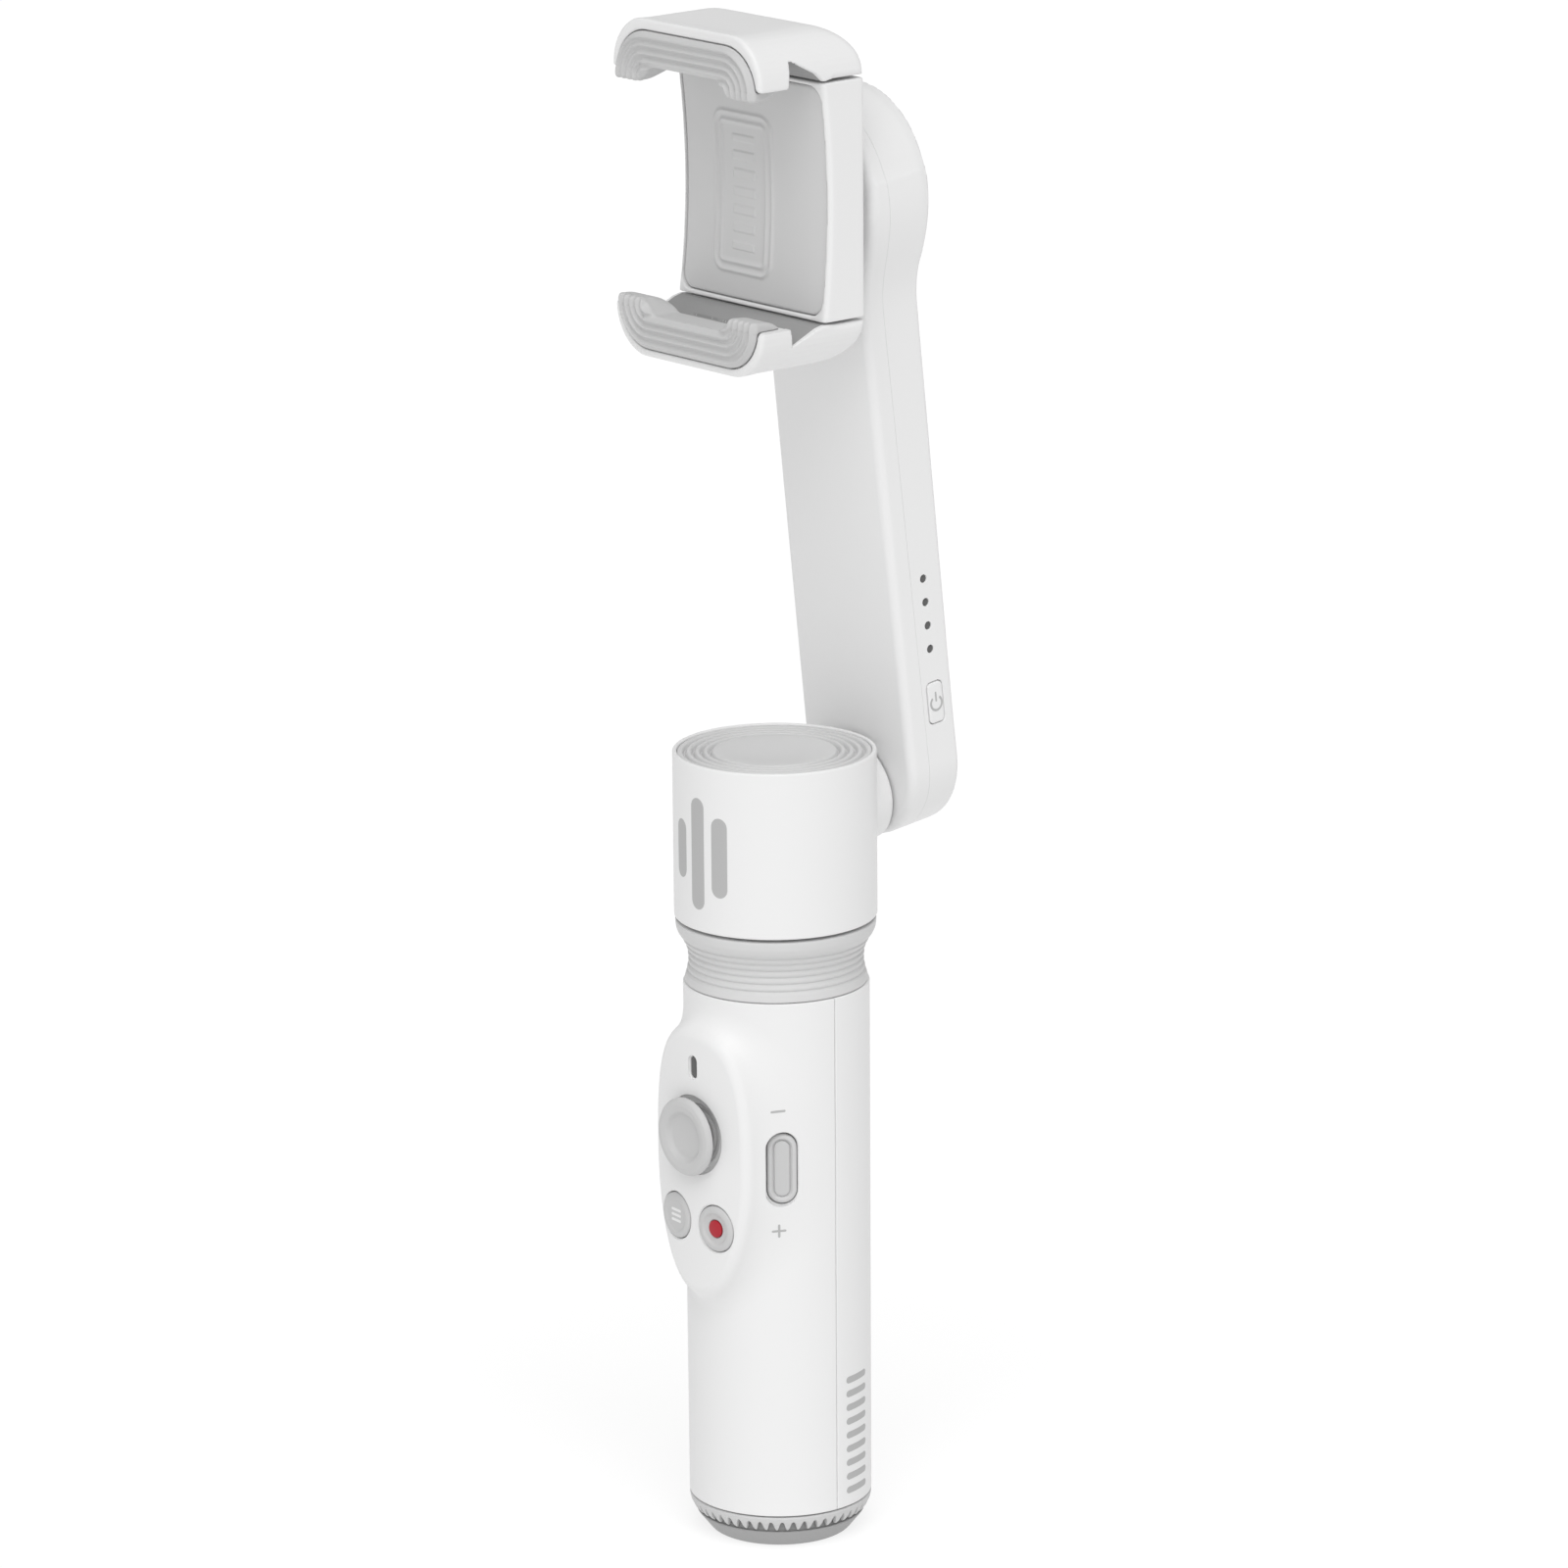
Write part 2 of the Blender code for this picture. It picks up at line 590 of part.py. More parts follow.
def arm_shells(paint, fold):
    drum = roll_turned("drum", [
        (0.0, ROLL_FRONT_Y), (ROLL_R - 0.9, ROLL_FRONT_Y), (ROLL_R, ROLL_FRONT_Y + 0.9),
        (ROLL_R, ROLL_BACK_Y - 1.8), (ROLL_R - 0.55, ROLL_BACK_Y - 0.55), (ROLL_R - 1.8, ROLL_BACK_Y),
        (0.0, ROLL_BACK_Y),
    ], 52)
    body = combined(arm_slab("slab", 0.0), [to_arm(drum)], "UNION")
    drum_hollow = roll_turned("drum_hollow", [
        (0.0, ROLL_FRONT_Y + WALL), (ROLL_R - WALL, ROLL_FRONT_Y + WALL),
        (ROLL_R - WALL, ROLL_BACK_Y - WALL), (0.0, ROLL_BACK_Y - WALL),
    ], 36)
    axle_hole = roll_turned("axle_hole", [(0.0, 0.0), (5.6, 0.0), (5.6, 12.0), (0.0, 12.0)], 28)
    hollow = combined(arm_slab("arm_hollow", WALL), [to_arm(drum_hollow)], "UNION")
    body = combined(body, [hollow, to_arm(axle_hole)])

    half = 0.12
    rear = copied(body, "rear")
    rear_cutters = [box("front_part", (-40, -30, -40), (40, ARM_SPLIT + half, 150))] + arm_side_cutters()
    finish(combined(rear, rear_cutters), "arm_rear_shell", paint["white"], fold, True)
    pin_hole = along_y(cylinder("pin_hole", HINGE_PIN_R + 0.2, -5.0, 4.0, 28))
    front = combined(body, [box("rear_part", (-40, ARM_SPLIT - half, -40), (40, 40, 150)), pin_hole])
    finish(front, "arm_front_shell", paint["white"], fold, True)


def arm_side_cutters():
    """Openings for the power button and the lights on one side and for the charging port on the other."""
    key = prism("key_hole", rounded_box(1.75 + FIT, 3.85 + FIT, 0.9), 8.0, 20.0, "X")
    cutters = [moved(key, (0.0, ARM_KEY_V, POWER_U))]
    for i in range(4):
        peg_hole = along_x(cylinder("peg_hole", LIGHT_R + FIT, 8.0, 20.0, 16))
        cutters.append(moved(peg_hole, (0.0, ARM_KEY_V, LIGHT_U + i * LIGHT_PITCH)))
    port = prism("port_hole", rounded_box(1.75 + FIT, 4.75 + FIT, 1.6), -20.0, -9.0, "X")
    cutters.append(moved(port, (0.0, ARM_KEY_V, POWER_U)))
    return cutters


def arm_contents(paint, fold):
    pin = turned("pin", [
        (0.0, -7.2), (4.3, -7.2), (4.3, -6.5), (HINGE_PIN_R, -6.5), (HINGE_PIN_R, 2.1), (4.6, 2.1),
        (4.6, 3.0), (0.0, 3.0),
    ], 28)
    finish(along_y(pin), "fold_hinge_pin", paint["steel"], fold, True)

    battery = lofted("battery", [
        [(x, v, u + 70.0) for x, u in rounded_box(10.5, 25.0, 1.5, 3)] for v in (2.5, 9.3)
    ])
    finish(battery, "arm_battery", paint["battery"], fold, True)
    finish(box("board", (-11.5, 3.4, 8.0), (11.5, 4.4, 43.0)), "arm_main_board", paint["board"], fold, True)

    guide = box("guide", (10.0, 6.5, LIGHT_U - 2.0), (12.4, 8.5, LIGHT_U + 3 * LIGHT_PITCH + 2.0))
    pegs = []
    for i in range(4):
        peg = along_x(cylinder("peg", LIGHT_R, 11.5, 14.7, 16))
        pegs.append(moved(peg, (0.0, ARM_KEY_V, LIGHT_U + i * LIGHT_PITCH)))
    finish(combined(guide, pegs, "UNION"), "battery_light_guide", paint["dark"], fold, True)

    port = prism("port", rounded_box(1.75, 4.75, 1.5), -14.7, -8.0, "X")
    port = combined(port, [prism("mouth", rounded_box(1.35, 4.3, 1.2), -16.0, -9.0, "X")])
    tongue = box("tongue", (-14.2, -0.35, -3.3), (-8.5, 0.35, 3.3))
    port = combined(port, [tongue], "UNION")
    finish(moved(port, (0.0, ARM_KEY_V, POWER_U)), "charging_port", paint["steel"], fold, True)

    origin = fold.matrix_world @ (Vector((14.9, ARM_KEY_V, POWER_U)) * MM) / MM
    slide = axis_empty("power_button_slide", origin, fold)
    key = prism("key", rounded_box(1.75, 3.85, 0.8), 12.0, 15.0, "X")
    flange = prism("flange", rounded_box(1.6, 4.7, 0.8), 11.4, 12.5, "X")
    key = moved(combined(key, [flange], "UNION"), (0.0, ARM_KEY_V, POWER_U))
    key.data.transform(fold.matrix_world)
    finish(key, "power_button", paint["white"], slide)


def roll_motor_fixed(paint, fold):
    stator = along_y(motor_stator("roll_stator", 5.4, 12.2, 12.6, 17.0), (0.0, 0.0, ROLL_Z))
    finish(stator, "roll_motor_stator", paint["copper"], fold)
    bearing = roll_turned("bearing", [(2.9, 8.6), (5.3, 8.6), (5.3, 11.8), (2.9, 11.8)], 28)
    finish(bearing, "roll_bearing", paint["steel"], fold)


# --------------------------------------------------------------- phone clamp


def plate_front(z):
    """The hollow front of the clamp's plate, z measured from its middle."""
    return PLATE_FRONT_Y + PLATE_HOLLOW * (1 - (z / PLATE_HALF_Z) ** 2)


def plate_body(name, half_x, back):
    steps = 10
    heights = [PLATE_HALF_Z * (2 * i / steps - 1) for i in range(steps + 1)]
    outline = [(plate_front(z), CLAMP_Z + z) for z in heights]
    outline += [(back, CLAMP_Z + PLATE_HALF_Z), (back, CLAMP_Z - PLATE_HALF_Z)]
    return prism(name, outline, -half_x, half_x, "X")


def roll_parts(paint, fold):
    roll = axis_empty("roll_axis", (0.0, ROLL_FRONT_Y, ROLL_Z), fold)
    rotor = roll_turned("rotor", [
        (0.0, 5.3), (15.0, 5.3), (15.0, 7.6), (2.6, 7.6), (2.6, 18.9), (0.0, 18.9),
    ], 32)
    finish(rotor, "roll_axle_plate", paint["white"], roll)
    bell = roll_turned("bell", [
        (2.9, 17.6), (13.9, 17.6), (13.9, 12.8), (15.0, 12.8), (15.0, 18.8), (2.9, 18.8),
    ], 32)
    finish(bell, "roll_rotor_bell", paint["steel"], roll)
    magnets = roll_turned("magnets", [(12.6, 12.8), (13.6, 12.8), (13.6, 17.2), (12.6, 17.2)], 36)
    finish(magnets, "roll_magnet_ring", paint["dark"], roll)

    housing = plate_body("housing", CLAMP_HALF_X, PLATE_BACK_Y)
    pocket = box("pocket", (-19.2, -10.0, 200.0), (19.2, 3.4, 300.0))
    post = roll_turned("post", [(0.0, -1.2), (1.3, -1.2), (1.3, 4.0), (0.0, 4.0)], 16)
    housing = combined(combined(housing, [pocket]), [moved(post, (0.0, 0.0, CLAMP_Z - ROLL_Z))], "UNION")
    finish(housing, "clamp_housing", paint["white"], roll)

    pad = plate_body("pad", 19.0, -2.0)
    finish(pad, "clamp_back_pad", paint["grey"], roll)
    return roll


def rack_teeth():
    """The toothed edge of a rack, (x, z) from the pinion's middle, from its bottom to its top."""
    pitch = math.tau * PINION_R / PINION_TEETH
    points = []
    for i in range(-8, 7):
        z = i * pitch
        points += [
            (PINION_R + 0.75, z - 0.24 * pitch), (PINION_R - 0.45, z - 0.1 * pitch),
            (PINION_R - 0.45, z + 0.1 * pitch), (PINION_R + 0.75, z + 0.24 * pitch),
        ]
    return points


def jaw_body(name):
    """The upper jaw's shell about the clamp's middle: a hooked profile trimmed to a round-cornered front."""
    side = [(PLATE_BACK_Y, 21.95), (PLATE_BACK_Y, JAW_TOP - 8.0)]
    side += arc((PLATE_BACK_Y - 8.0, JAW_TOP - 8.0), 8.0, 10, 90, 7)
    side += [(-17.9, JAW_TOP), (-18.8, JAW_TOP - 0.9), (-18.8, 19.9), (LIP_BACK_Y - 0.6, 19.9)]
    side += [(LIP_BACK_Y + 0.5, 26.3), (-6.3, 23.5), (-4.6, 21.95)]
    front = [(-20.1, 19.9), (-12.8, 19.9), (-9.6, 21.6), (9.6, 21.6), (12.8, 19.9), (20.1, 19.9)]
    front += arc((CLAMP_HALF_X - 9.0, JAW_TOP - 9.0), 9.0, 0, 90, 8)
    front += arc((9.0 - CLAMP_HALF_X, JAW_TOP - 9.0), 9.0, 90, 180, 8)
    jaw = combined(prism(name, side, -30, 30, "X"), [prism("front", front, -40, 20)], "INTERSECT")
    rack = [(12.4, -21.0), (12.4, 25.0), (6.0, 25.0), (6.0, 21.0)] + [
        (x, z) for x, z in reversed(rack_teeth()) if -20.6 < z < 20.6
    ] + [(PINION_R + 0.75, -21.0)]
    rail = box("rail", (-17.8, -1.4, -17.0), (-14.0, 2.9, 25.0))
    return combined(jaw, [prism("rack", rack, -0.1, 2.9), rail], "UNION")


def jaw_pad(name):
    """The ribbed rubber facing on the lip's front."""
    outline = [(-19.0, 19.7), (-12.4, 19.7), (-9.4, 21.4), (9.4, 21.4), (12.4, 19.7), (19.0, 19.7)]
    outline += arc((10.9, 20.7), 8.1, 0, 90, 8)
    outline += arc((-10.9, 20.7), 8.1, 90, 180, 8)
    return prism(name, outline, LIP_FRONT_Y, -19.1)


def jaw_parts(paint, roll):
    for sign, side in ((1, "upper"), (-1, "lower")):
        slide = axis_empty(f"{side}_jaw_slide", (0.0, 0.0, CLAMP_Z + sign * 22.0), roll)
        turn = Matrix.Translation((0.0, 0.0, CLAMP_Z)) @ Matrix.Rotation(0.0 if sign > 0 else math.pi, 4, "Y")
        finish(transformed(jaw_body("jaw"), turn), f"{side}_jaw", paint["white"], slide)
        finish(transformed(jaw_pad("jaw_pad"), turn), f"{side}_jaw_pad", paint["grey"], slide)


def pinion_parts(paint, roll):
    axis = axis_empty("jaw_pinion_axis", (0.0, 1.0, CLAMP_Z), roll)
    outline = []
    for i in range(PINION_TEETH):
        for share, radius in ((0.28, 3.3), (0.4, 4.4), (0.6, 4.4), (0.72, 3.3)):
            angle = math.tau * (i + share) / PINION_TEETH
            outline.append((radius * math.cos(angle), radius * math.sin(angle)))
    pinion = combined(prism("pinion", outline, 0.2, 2.8), [along_y(cylinder("bore", 1.55, -5, 5, 20))])
    finish(moved(pinion, (0.0, 0.0, CLAMP_Z)), "jaw_pinion", paint["brass"], axis)

    turns, steps, wire = 2.5, 32, 0.22
    rings = []
    for i in range(steps + 1):
        angle = math.tau * turns * i / steps
        radius = 1.9 + 2.1 * i / steps
        center = Vector((radius * math.cos(angle), -0.7, radius * math.sin(angle)))
        outward = Vector((math.cos(angle), 0.0, math.sin(angle)))
        section = [(math.cos(k * math.tau / 6), math.sin(k * math.tau / 6)) for k in range(6)]
        rings.append([center + wire * (c * outward + s * Vector((0, 1, 0))) for c, s in section])
    finish(moved(lofted("spring", rings), (0.0, 0.0, CLAMP_Z)), "jaw_spring", paint["steel"], roll)


def main():
    for thing in list(bpy.data.objects):
        bpy.data.objects.remove(thing)
    paint = make_materials()
    foot_parts(paint)
    handle_parts(paint)
    joystick_parts(paint)
    button_parts(paint)
    rocker_parts(paint)
    rod_tip = rod_parts(paint)
    neck_parts(paint, rod_tip)
    pan = head_parts(paint, rod_tip)
    fold = axis_empty("fold_axis", HINGE, pan, ARM_LEAN)
    arm_shells(paint, fold)
    arm_contents(paint, fold)
    roll_motor_fixed(paint, fold)
    roll = roll_parts(paint, fold)
    jaw_parts(paint, roll)
    pinion_parts(paint, roll)


main()
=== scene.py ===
"""Looks of the phone gimbal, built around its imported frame.

Shapes are worked out in millimetres and become metres when a mesh is made. The frame's axes are
those of the part: +Z up the handle, -Y the side of the control panel, +X that of the zoom rocker.
"""

import itertools
import json
import math

import bmesh
import bpy
import numpy as np
from mathutils import Matrix, Vector


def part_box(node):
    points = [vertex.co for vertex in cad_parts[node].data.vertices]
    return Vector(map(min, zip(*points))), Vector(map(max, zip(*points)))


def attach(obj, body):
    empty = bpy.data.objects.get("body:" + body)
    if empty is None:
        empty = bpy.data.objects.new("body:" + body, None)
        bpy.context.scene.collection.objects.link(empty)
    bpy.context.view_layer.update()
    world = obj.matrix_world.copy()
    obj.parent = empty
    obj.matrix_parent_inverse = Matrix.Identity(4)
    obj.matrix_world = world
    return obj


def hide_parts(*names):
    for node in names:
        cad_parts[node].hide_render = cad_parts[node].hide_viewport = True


MM = 0.001
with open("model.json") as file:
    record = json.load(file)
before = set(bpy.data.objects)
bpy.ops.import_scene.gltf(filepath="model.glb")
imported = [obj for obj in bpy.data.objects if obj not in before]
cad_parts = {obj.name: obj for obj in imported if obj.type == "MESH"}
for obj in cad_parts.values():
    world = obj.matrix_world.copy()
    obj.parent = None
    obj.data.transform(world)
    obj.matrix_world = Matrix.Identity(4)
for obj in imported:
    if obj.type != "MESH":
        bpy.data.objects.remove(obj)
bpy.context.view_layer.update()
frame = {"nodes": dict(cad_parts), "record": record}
nodes = frame["nodes"]

# Handle and its control panel
HANDLE_LOW, HANDLE_HIGH = 7.1, 106.2
HANDLE_R = (17.0, 17.2)
HANDLE_INNER = 15.3
HANDLE_RIM = 0.3  # the height of the fine rows at the handle's two ends
SEAM = 2.05  # the seam's place behind the X axis, in degrees
SEAM_HALF = 0.2  # half of its gap, in degrees
PANEL_Y = -20.1
PANEL_CURVE = 58.0
PANEL_HALF = 12.5
PANEL_TOP, PANEL_MIDDLE, PANEL_BOTTOM = 99.5, 76.0, 50.0
STICK_Z = 80.3
STICK_BORE = 5.6
KEY_Z = 63.4
KEY_R = 4.3
KEY_TILT = math.asin(5.57 / PANEL_CURVE)
KEY_FACE = PANEL_CURVE + 0.4
WINDOW_Z = 93.2
ROD_WALL = 0.78
ROCKER_Z = 75.0
ROCKER_TURN = math.radians(-38.0)
FOOT_TOP = 3.6
NOTCHES = 50

# Head, hinge and arm
HEAD_LOW, HEAD_HIGH, HEAD_R = 118.8, 150.0, 18.7
HINGE_Y, HINGE_Z = 20.8, 138.9
LEAN = math.radians(6.6)
ARM_THICK = 11.84
ARM_SPLIT = 4.4
ARM_SIDE = 14.88
ARM_TAPER = 0.04  # how much the side moves in from one light to the next
KEY_V = 7.5
POWER_U = 17.3
LIGHT_U, LIGHT_PITCH = 27.6, 4.5
ROLL_Z = 252.6
ROLL_R = 18.5
ROLL_Y = (8.2, 21.5)

# Phone clamp
CLAMP_Z = 254.35
CLAMP_X = 20.4
PLATE_Z = 21.65
PLATE_Y = (-4.8, 5.0)
JAW_TOP = 31.2
LOWER_JAW_THINNER = 0.6
LIP_Y = -20.5


# ------------------------------------------------------------------ camera, light


def make_camera():
    """A long lens from the front right, a little above the handle."""
    turn, rise, roll = math.radians(49.5), math.radians(15.1), math.radians(-0.47)
    back = Vector((math.sin(turn) * math.cos(rise), -math.cos(turn) * math.cos(rise), math.sin(rise)))
    side = Vector((math.cos(turn), math.sin(turn), 0.0))
    up = back.cross(side)
    right = math.cos(roll) * side + math.sin(roll) * up
    up = -math.sin(roll) * side + math.cos(roll) * up
    data = bpy.data.cameras.new("camera")
    data.lens, data.sensor_width = 180.0, 36.0
    camera = bpy.data.objects.new("camera", data)
    camera.location = (Vector((1.1, 1.3, 143.2)) + 1433.9 * back) * MM
    camera.rotation_euler = Matrix((right, up, back)).transposed().to_euler()
    bpy.context.scene.collection.objects.link(camera)
    bpy.context.scene.camera = camera


def make_light():
    world = bpy.data.worlds.new("studio")
    world.use_nodes = True
    world.node_tree.nodes["Background"].inputs["Color"].default_value = (1.0, 1.0, 1.0, 1.0)
    world.node_tree.nodes["Background"].inputs["Strength"].default_value = 0.47
    bpy.context.scene.world = world
    bpy.context.scene.view_settings.view_transform = "Standard"
    for name, energy, spread_of, tilt, turn in (("key", 1.8, 50, 35, 54), ("fill", 0.25, 60, 76, 10)):
        sun = bpy.data.lights.new(name, "SUN")
        sun.energy, sun.angle = energy, math.radians(spread_of)
        lamp = bpy.data.objects.new(name, sun)
        lamp.rotation_euler = (math.radians(tilt), 0.0, math.radians(turn))
        bpy.context.scene.collection.objects.link(lamp)


def make_floor():
    mesh = bpy.data.meshes.new("floor")
    side = 6.0
    corners = [(-side, -side, 0), (side, -side, 0), (side, side, 0), (-side, side, 0)]
    mesh.from_pydata(corners, [], [(0, 1, 2, 3)])
    floor = bpy.data.objects.new("floor", mesh)
    bpy.context.scene.collection.objects.link(floor)
    material = bpy.data.materials.new("pale floor")
    material.use_nodes = True
    shader = material.node_tree.nodes["Principled BSDF"]
    shader.inputs["Base Color"].default_value = (0.3, 0.3, 0.3, 1.0)
    shader.inputs["Roughness"].default_value = 0.9
    shader.inputs["Specular IOR Level"].default_value = 0.0
    shader.inputs["Emission Color"].default_value = (1.0, 1.0, 1.0, 1.0)
    shader.inputs["Emission Strength"].default_value = 0.74
    mesh.materials.append(material)


# --------------------------------------------------------------------- materials


def surface(name, color, roughness, grain=0.0, grain_size=0.15, blotch=0.02, metallic=0.0):
    """A moulded surface: a slow drift of colour, an uneven gloss and a fine grain, sized in millimetres."""
    material = bpy.data.materials.new(name)
    material.use_nodes = True
    tree = material.node_tree
    shader = tree.nodes["Principled BSDF"]
    shader.inputs["Metallic"].default_value = metallic
    shader.inputs["Specular IOR Level"].default_value = 0.5 if metallic else 0.3
    place = tree.nodes.new("ShaderNodeTexCoord").outputs["Object"]

    drift = tree.nodes.new("ShaderNodeTexNoise")
    drift.inputs["Scale"].default_value = 60.0
    drift.inputs["Detail"].default_value = 3.0
    tree.links.new(place, drift.inputs["Vector"])
    tint = tree.nodes.new("ShaderNodeMapRange")
    tint.inputs["To Min"].default_value = 1.0 - blotch
    tint.inputs["To Max"].default_value = 1.0 + blotch
    tree.links.new(drift.outputs["Fac"], tint.inputs["Value"])
    shade = tree.nodes.new("ShaderNodeVectorMath")
    shade.operation = "SCALE"
    shade.inputs[0].default_value = color
    tree.links.new(tint.outputs["Result"], shade.inputs["Scale"])
    tree.links.new(shade.outputs["Vector"], shader.inputs["Base Color"])

    fine = tree.nodes.new("ShaderNodeTexNoise")
    fine.inputs["Scale"].default_value = 1.0 / (grain_size * MM)
    fine.inputs["Detail"].default_value = 2.0
    tree.links.new(place, fine.inputs["Vector"])
    gloss = tree.nodes.new("ShaderNodeMapRange")
    gloss.inputs["To Min"].default_value = roughness - 0.05
    gloss.inputs["To Max"].default_value = roughness + 0.05
    tree.links.new(fine.outputs["Fac"], gloss.inputs["Value"])
    tree.links.new(gloss.outputs["Result"], shader.inputs["Roughness"])
    if grain:
        bump = tree.nodes.new("ShaderNodeBump")
        bump.inputs["Strength"].default_value = grain
        bump.inputs["Distance"].default_value = 0.02 * MM
        tree.links.new(fine.outputs["Fac"], bump.inputs["Height"])
        tree.links.new(bump.outputs["Normal"], shader.inputs["Normal"])
    return material


def grey(value):
    return (value, value, value)


def make_paints():
    return {
        "white_plastic": surface("white plastic", grey(0.78), 0.42, grain=0.25, grain_size=0.18,
                                 blotch=0.006),
        "grey_rubber": surface("grey rubber", grey(0.54), 0.5, grain=0.5, grain_size=0.12, blotch=0.015),
        "soft_grey": surface("soft grey", grey(0.62), 0.5, grain=0.5, grain_size=0.12, blotch=0.015),
        "dark_foot": surface("dark grey foot", grey(0.36), 0.6, grain=0.5, grain_size=0.2),
        "dark_window": surface("dark window", grey(0.1), 0.22),
        "magnet": surface("dark nickel", (0.05, 0.05, 0.06), 0.4),
        "red_mark": surface("red mark", (0.40, 0.016, 0.028), 0.4),
        "brass": surface("brass", (0.70, 0.50, 0.22), 0.32, metallic=1.0),
        "steel": surface("steel", (0.55, 0.56, 0.58), 0.3, grain=0.15, metallic=1.0),
        "circuit_board": surface("circuit board", (0.03, 0.16, 0.08), 0.5),
        "battery_wrap": surface("battery wrap", (0.10, 0.13, 0.20), 0.5),
        "mark_grey": surface("printed mark", grey(0.44), 0.5),
        "pale_ring": surface("pale ring", grey(0.57), 0.5, grain=0.3, grain_size=0.2),
        # trough: a darker grey painted into the jaws' trough, painted shade in that recess
        "trough": surface("trough painted_shade", grey(0.32), 0.6, grain=0.6, grain_size=0.25, blotch=0.06),
        "copper_winding": surface("copper winding", (0.72, 0.32, 0.16), 0.4, grain=0.8, metallic=1.0),
    }


# ---------------------------------------------------------------------- solids
# A solid is a function of x, y and z that is below zero inside it and grows by about 1 per millimetre.


def join(a, b, soft):
    """The union of two solids with a fillet about this wide between them."""
    near = np.maximum(soft - np.abs(a - b), 0.0) / soft
    return np.minimum(a, b) - near * near * soft / 4


def meet(a, b, soft):
    return -join(-a, -b, soft)


def cut(a, b, soft):
    return -join(-a, b, soft)


def thick(flat, along, low, high, edge):
    """A flat shape, given by its distance, extruded from low to high with rounded edges."""
    a = flat + edge
    b = np.abs(along - (low + high) / 2) - (high - low) / 2 + edge
    return np.minimum(np.maximum(a, b), 0.0) + np.hypot(np.maximum(a, 0.0), np.maximum(b, 0.0)) - edge


def oblong(half_u, half_v):
    return [(-half_u, -half_v), (half_u, -half_v), (half_u, half_v), (-half_u, half_v)]


def rounded_rect(u, v, half_u, half_v, corner):
    a, b = np.abs(u) - half_u + corner, np.abs(v) - half_v + corner
    return np.minimum(np.maximum(a, b), 0.0) + np.hypot(np.maximum(a, 0.0), np.maximum(b, 0.0)) - corner


def outline(points):
    """The signed distance to a closed outline, as a function of its two coordinates."""
    points = np.array(points, float)

    def distance(u, v):
        u, v = np.broadcast_arrays(u, v)
        best, inside = np.full(u.shape, 1e9), np.zeros(u.shape, bool)
        for (au, av), (bu, bv) in zip(points, np.roll(points, -1, 0)):
            du, dv = bu - au, bv - av
            if du == dv == 0:
                continue
            share = np.clip(((u - au) * du + (v - av) * dv) / (du * du + dv * dv), 0, 1)
            best = np.minimum(best, np.hypot(u - au - share * du, v - av - share * dv))
            if dv:
                inside ^= ((av > v) != (bv > v)) & (u < au + (v - av) * du / dv)
        return np.where(inside, -best, best)

    return distance


def slope(solid, points, reach=0.01):
    """The solid's value and its gradient at each point."""
    x, y, z = points.T
    steps = reach * np.eye(3)
    ahead = [solid(x + s[0], y + s[1], z + s[2]) for s in steps]
    behind = [solid(x - s[0], y - s[1], z - s[2]) for s in steps]
    gradient = np.stack([(a - b) / (2 * reach) for a, b in zip(ahead, behind)], 1)
    return solid(x, y, z), gradient


def settled(solid, points, reach):
    """The points moved onto the solid's surface."""
    for _ in range(5):
        value, gradient = slope(solid, points)
        size = np.maximum((gradient**2).sum(1), 0.05)
        points = points - (np.clip(value, -reach, reach) / size)[:, None] * gradient
    return points


def net(solid, low, high, cell):
    """The solid's surface as vertices, quads and normals: one vertex in each cell that it crosses."""
    cell = cell * 1.0
    low = np.array(low, float)
    counts = np.ceil((np.array(high) - low) / cell).astype(int) + 1
    x, y, z = (low[i] + cell * np.arange(counts[i]) for i in range(3))
    values = solid(x[:, None, None], y[None, :, None], z[None, None, :])
    inside = np.broadcast_to(values, counts) < 0
    corners = itertools.product((slice(None, -1), slice(1, None)), repeat=3)
    count = sum(inside[corner].astype(np.int8) for corner in corners)
    mixed = (count > 0) & (count < 8)
    index = np.full(mixed.shape, -1)
    index[mixed] = np.arange(mixed.sum())
    points = settled(solid, low + cell * (np.argwhere(mixed) + 0.5), cell / 2)
    quads = []
    for a in range(3):
        order = (a, (a + 1) % 3, (a + 2) % 3)
        side, cells = inside.transpose(order), index.transpose(order)
        start = side[:-1, 1:-1, 1:-1]
        i, j, k = np.nonzero(start != side[1:, 1:-1, 1:-1])
        out = start[i, j, k]
        quad = np.stack([cells[i, j, k], cells[i, j + 1, k], cells[i, j + 1, k + 1], cells[i, j, k + 1]], 1)
        quads.append(np.where(out[:, None], quad, quad[:, ::-1]))
    normals = slope(solid, points)[1]
    return points, np.concatenate(quads), normals


# ---------------------------------------------------------------------- meshes


def mesh_of(points, faces, normals=None, place=None):
    """A smooth mesh in metres from points in millimetres."""
    points = np.asarray(points, float)
    if place is not None:
        turn = np.array(place.to_3x3())
        points = points @ turn.T + np.array(place.translation)
        normals = None if normals is None else normals @ turn.T
    mesh = bpy.data.meshes.new("shape")
    mesh.from_pydata((points * MM).tolist(), [], [list(map(int, face)) for face in faces])
    mesh.validate()
    mesh.shade_smooth()
    if normals is not None:
        size = np.maximum(np.linalg.norm(normals, axis=1, keepdims=True), 1e-9)
        mesh.normals_split_custom_set_from_vertices((normals / size).tolist())
    return mesh


def net_mesh(solid, low, high, cell, place=None):
    return mesh_of(*net(solid, low, high, cell), place)


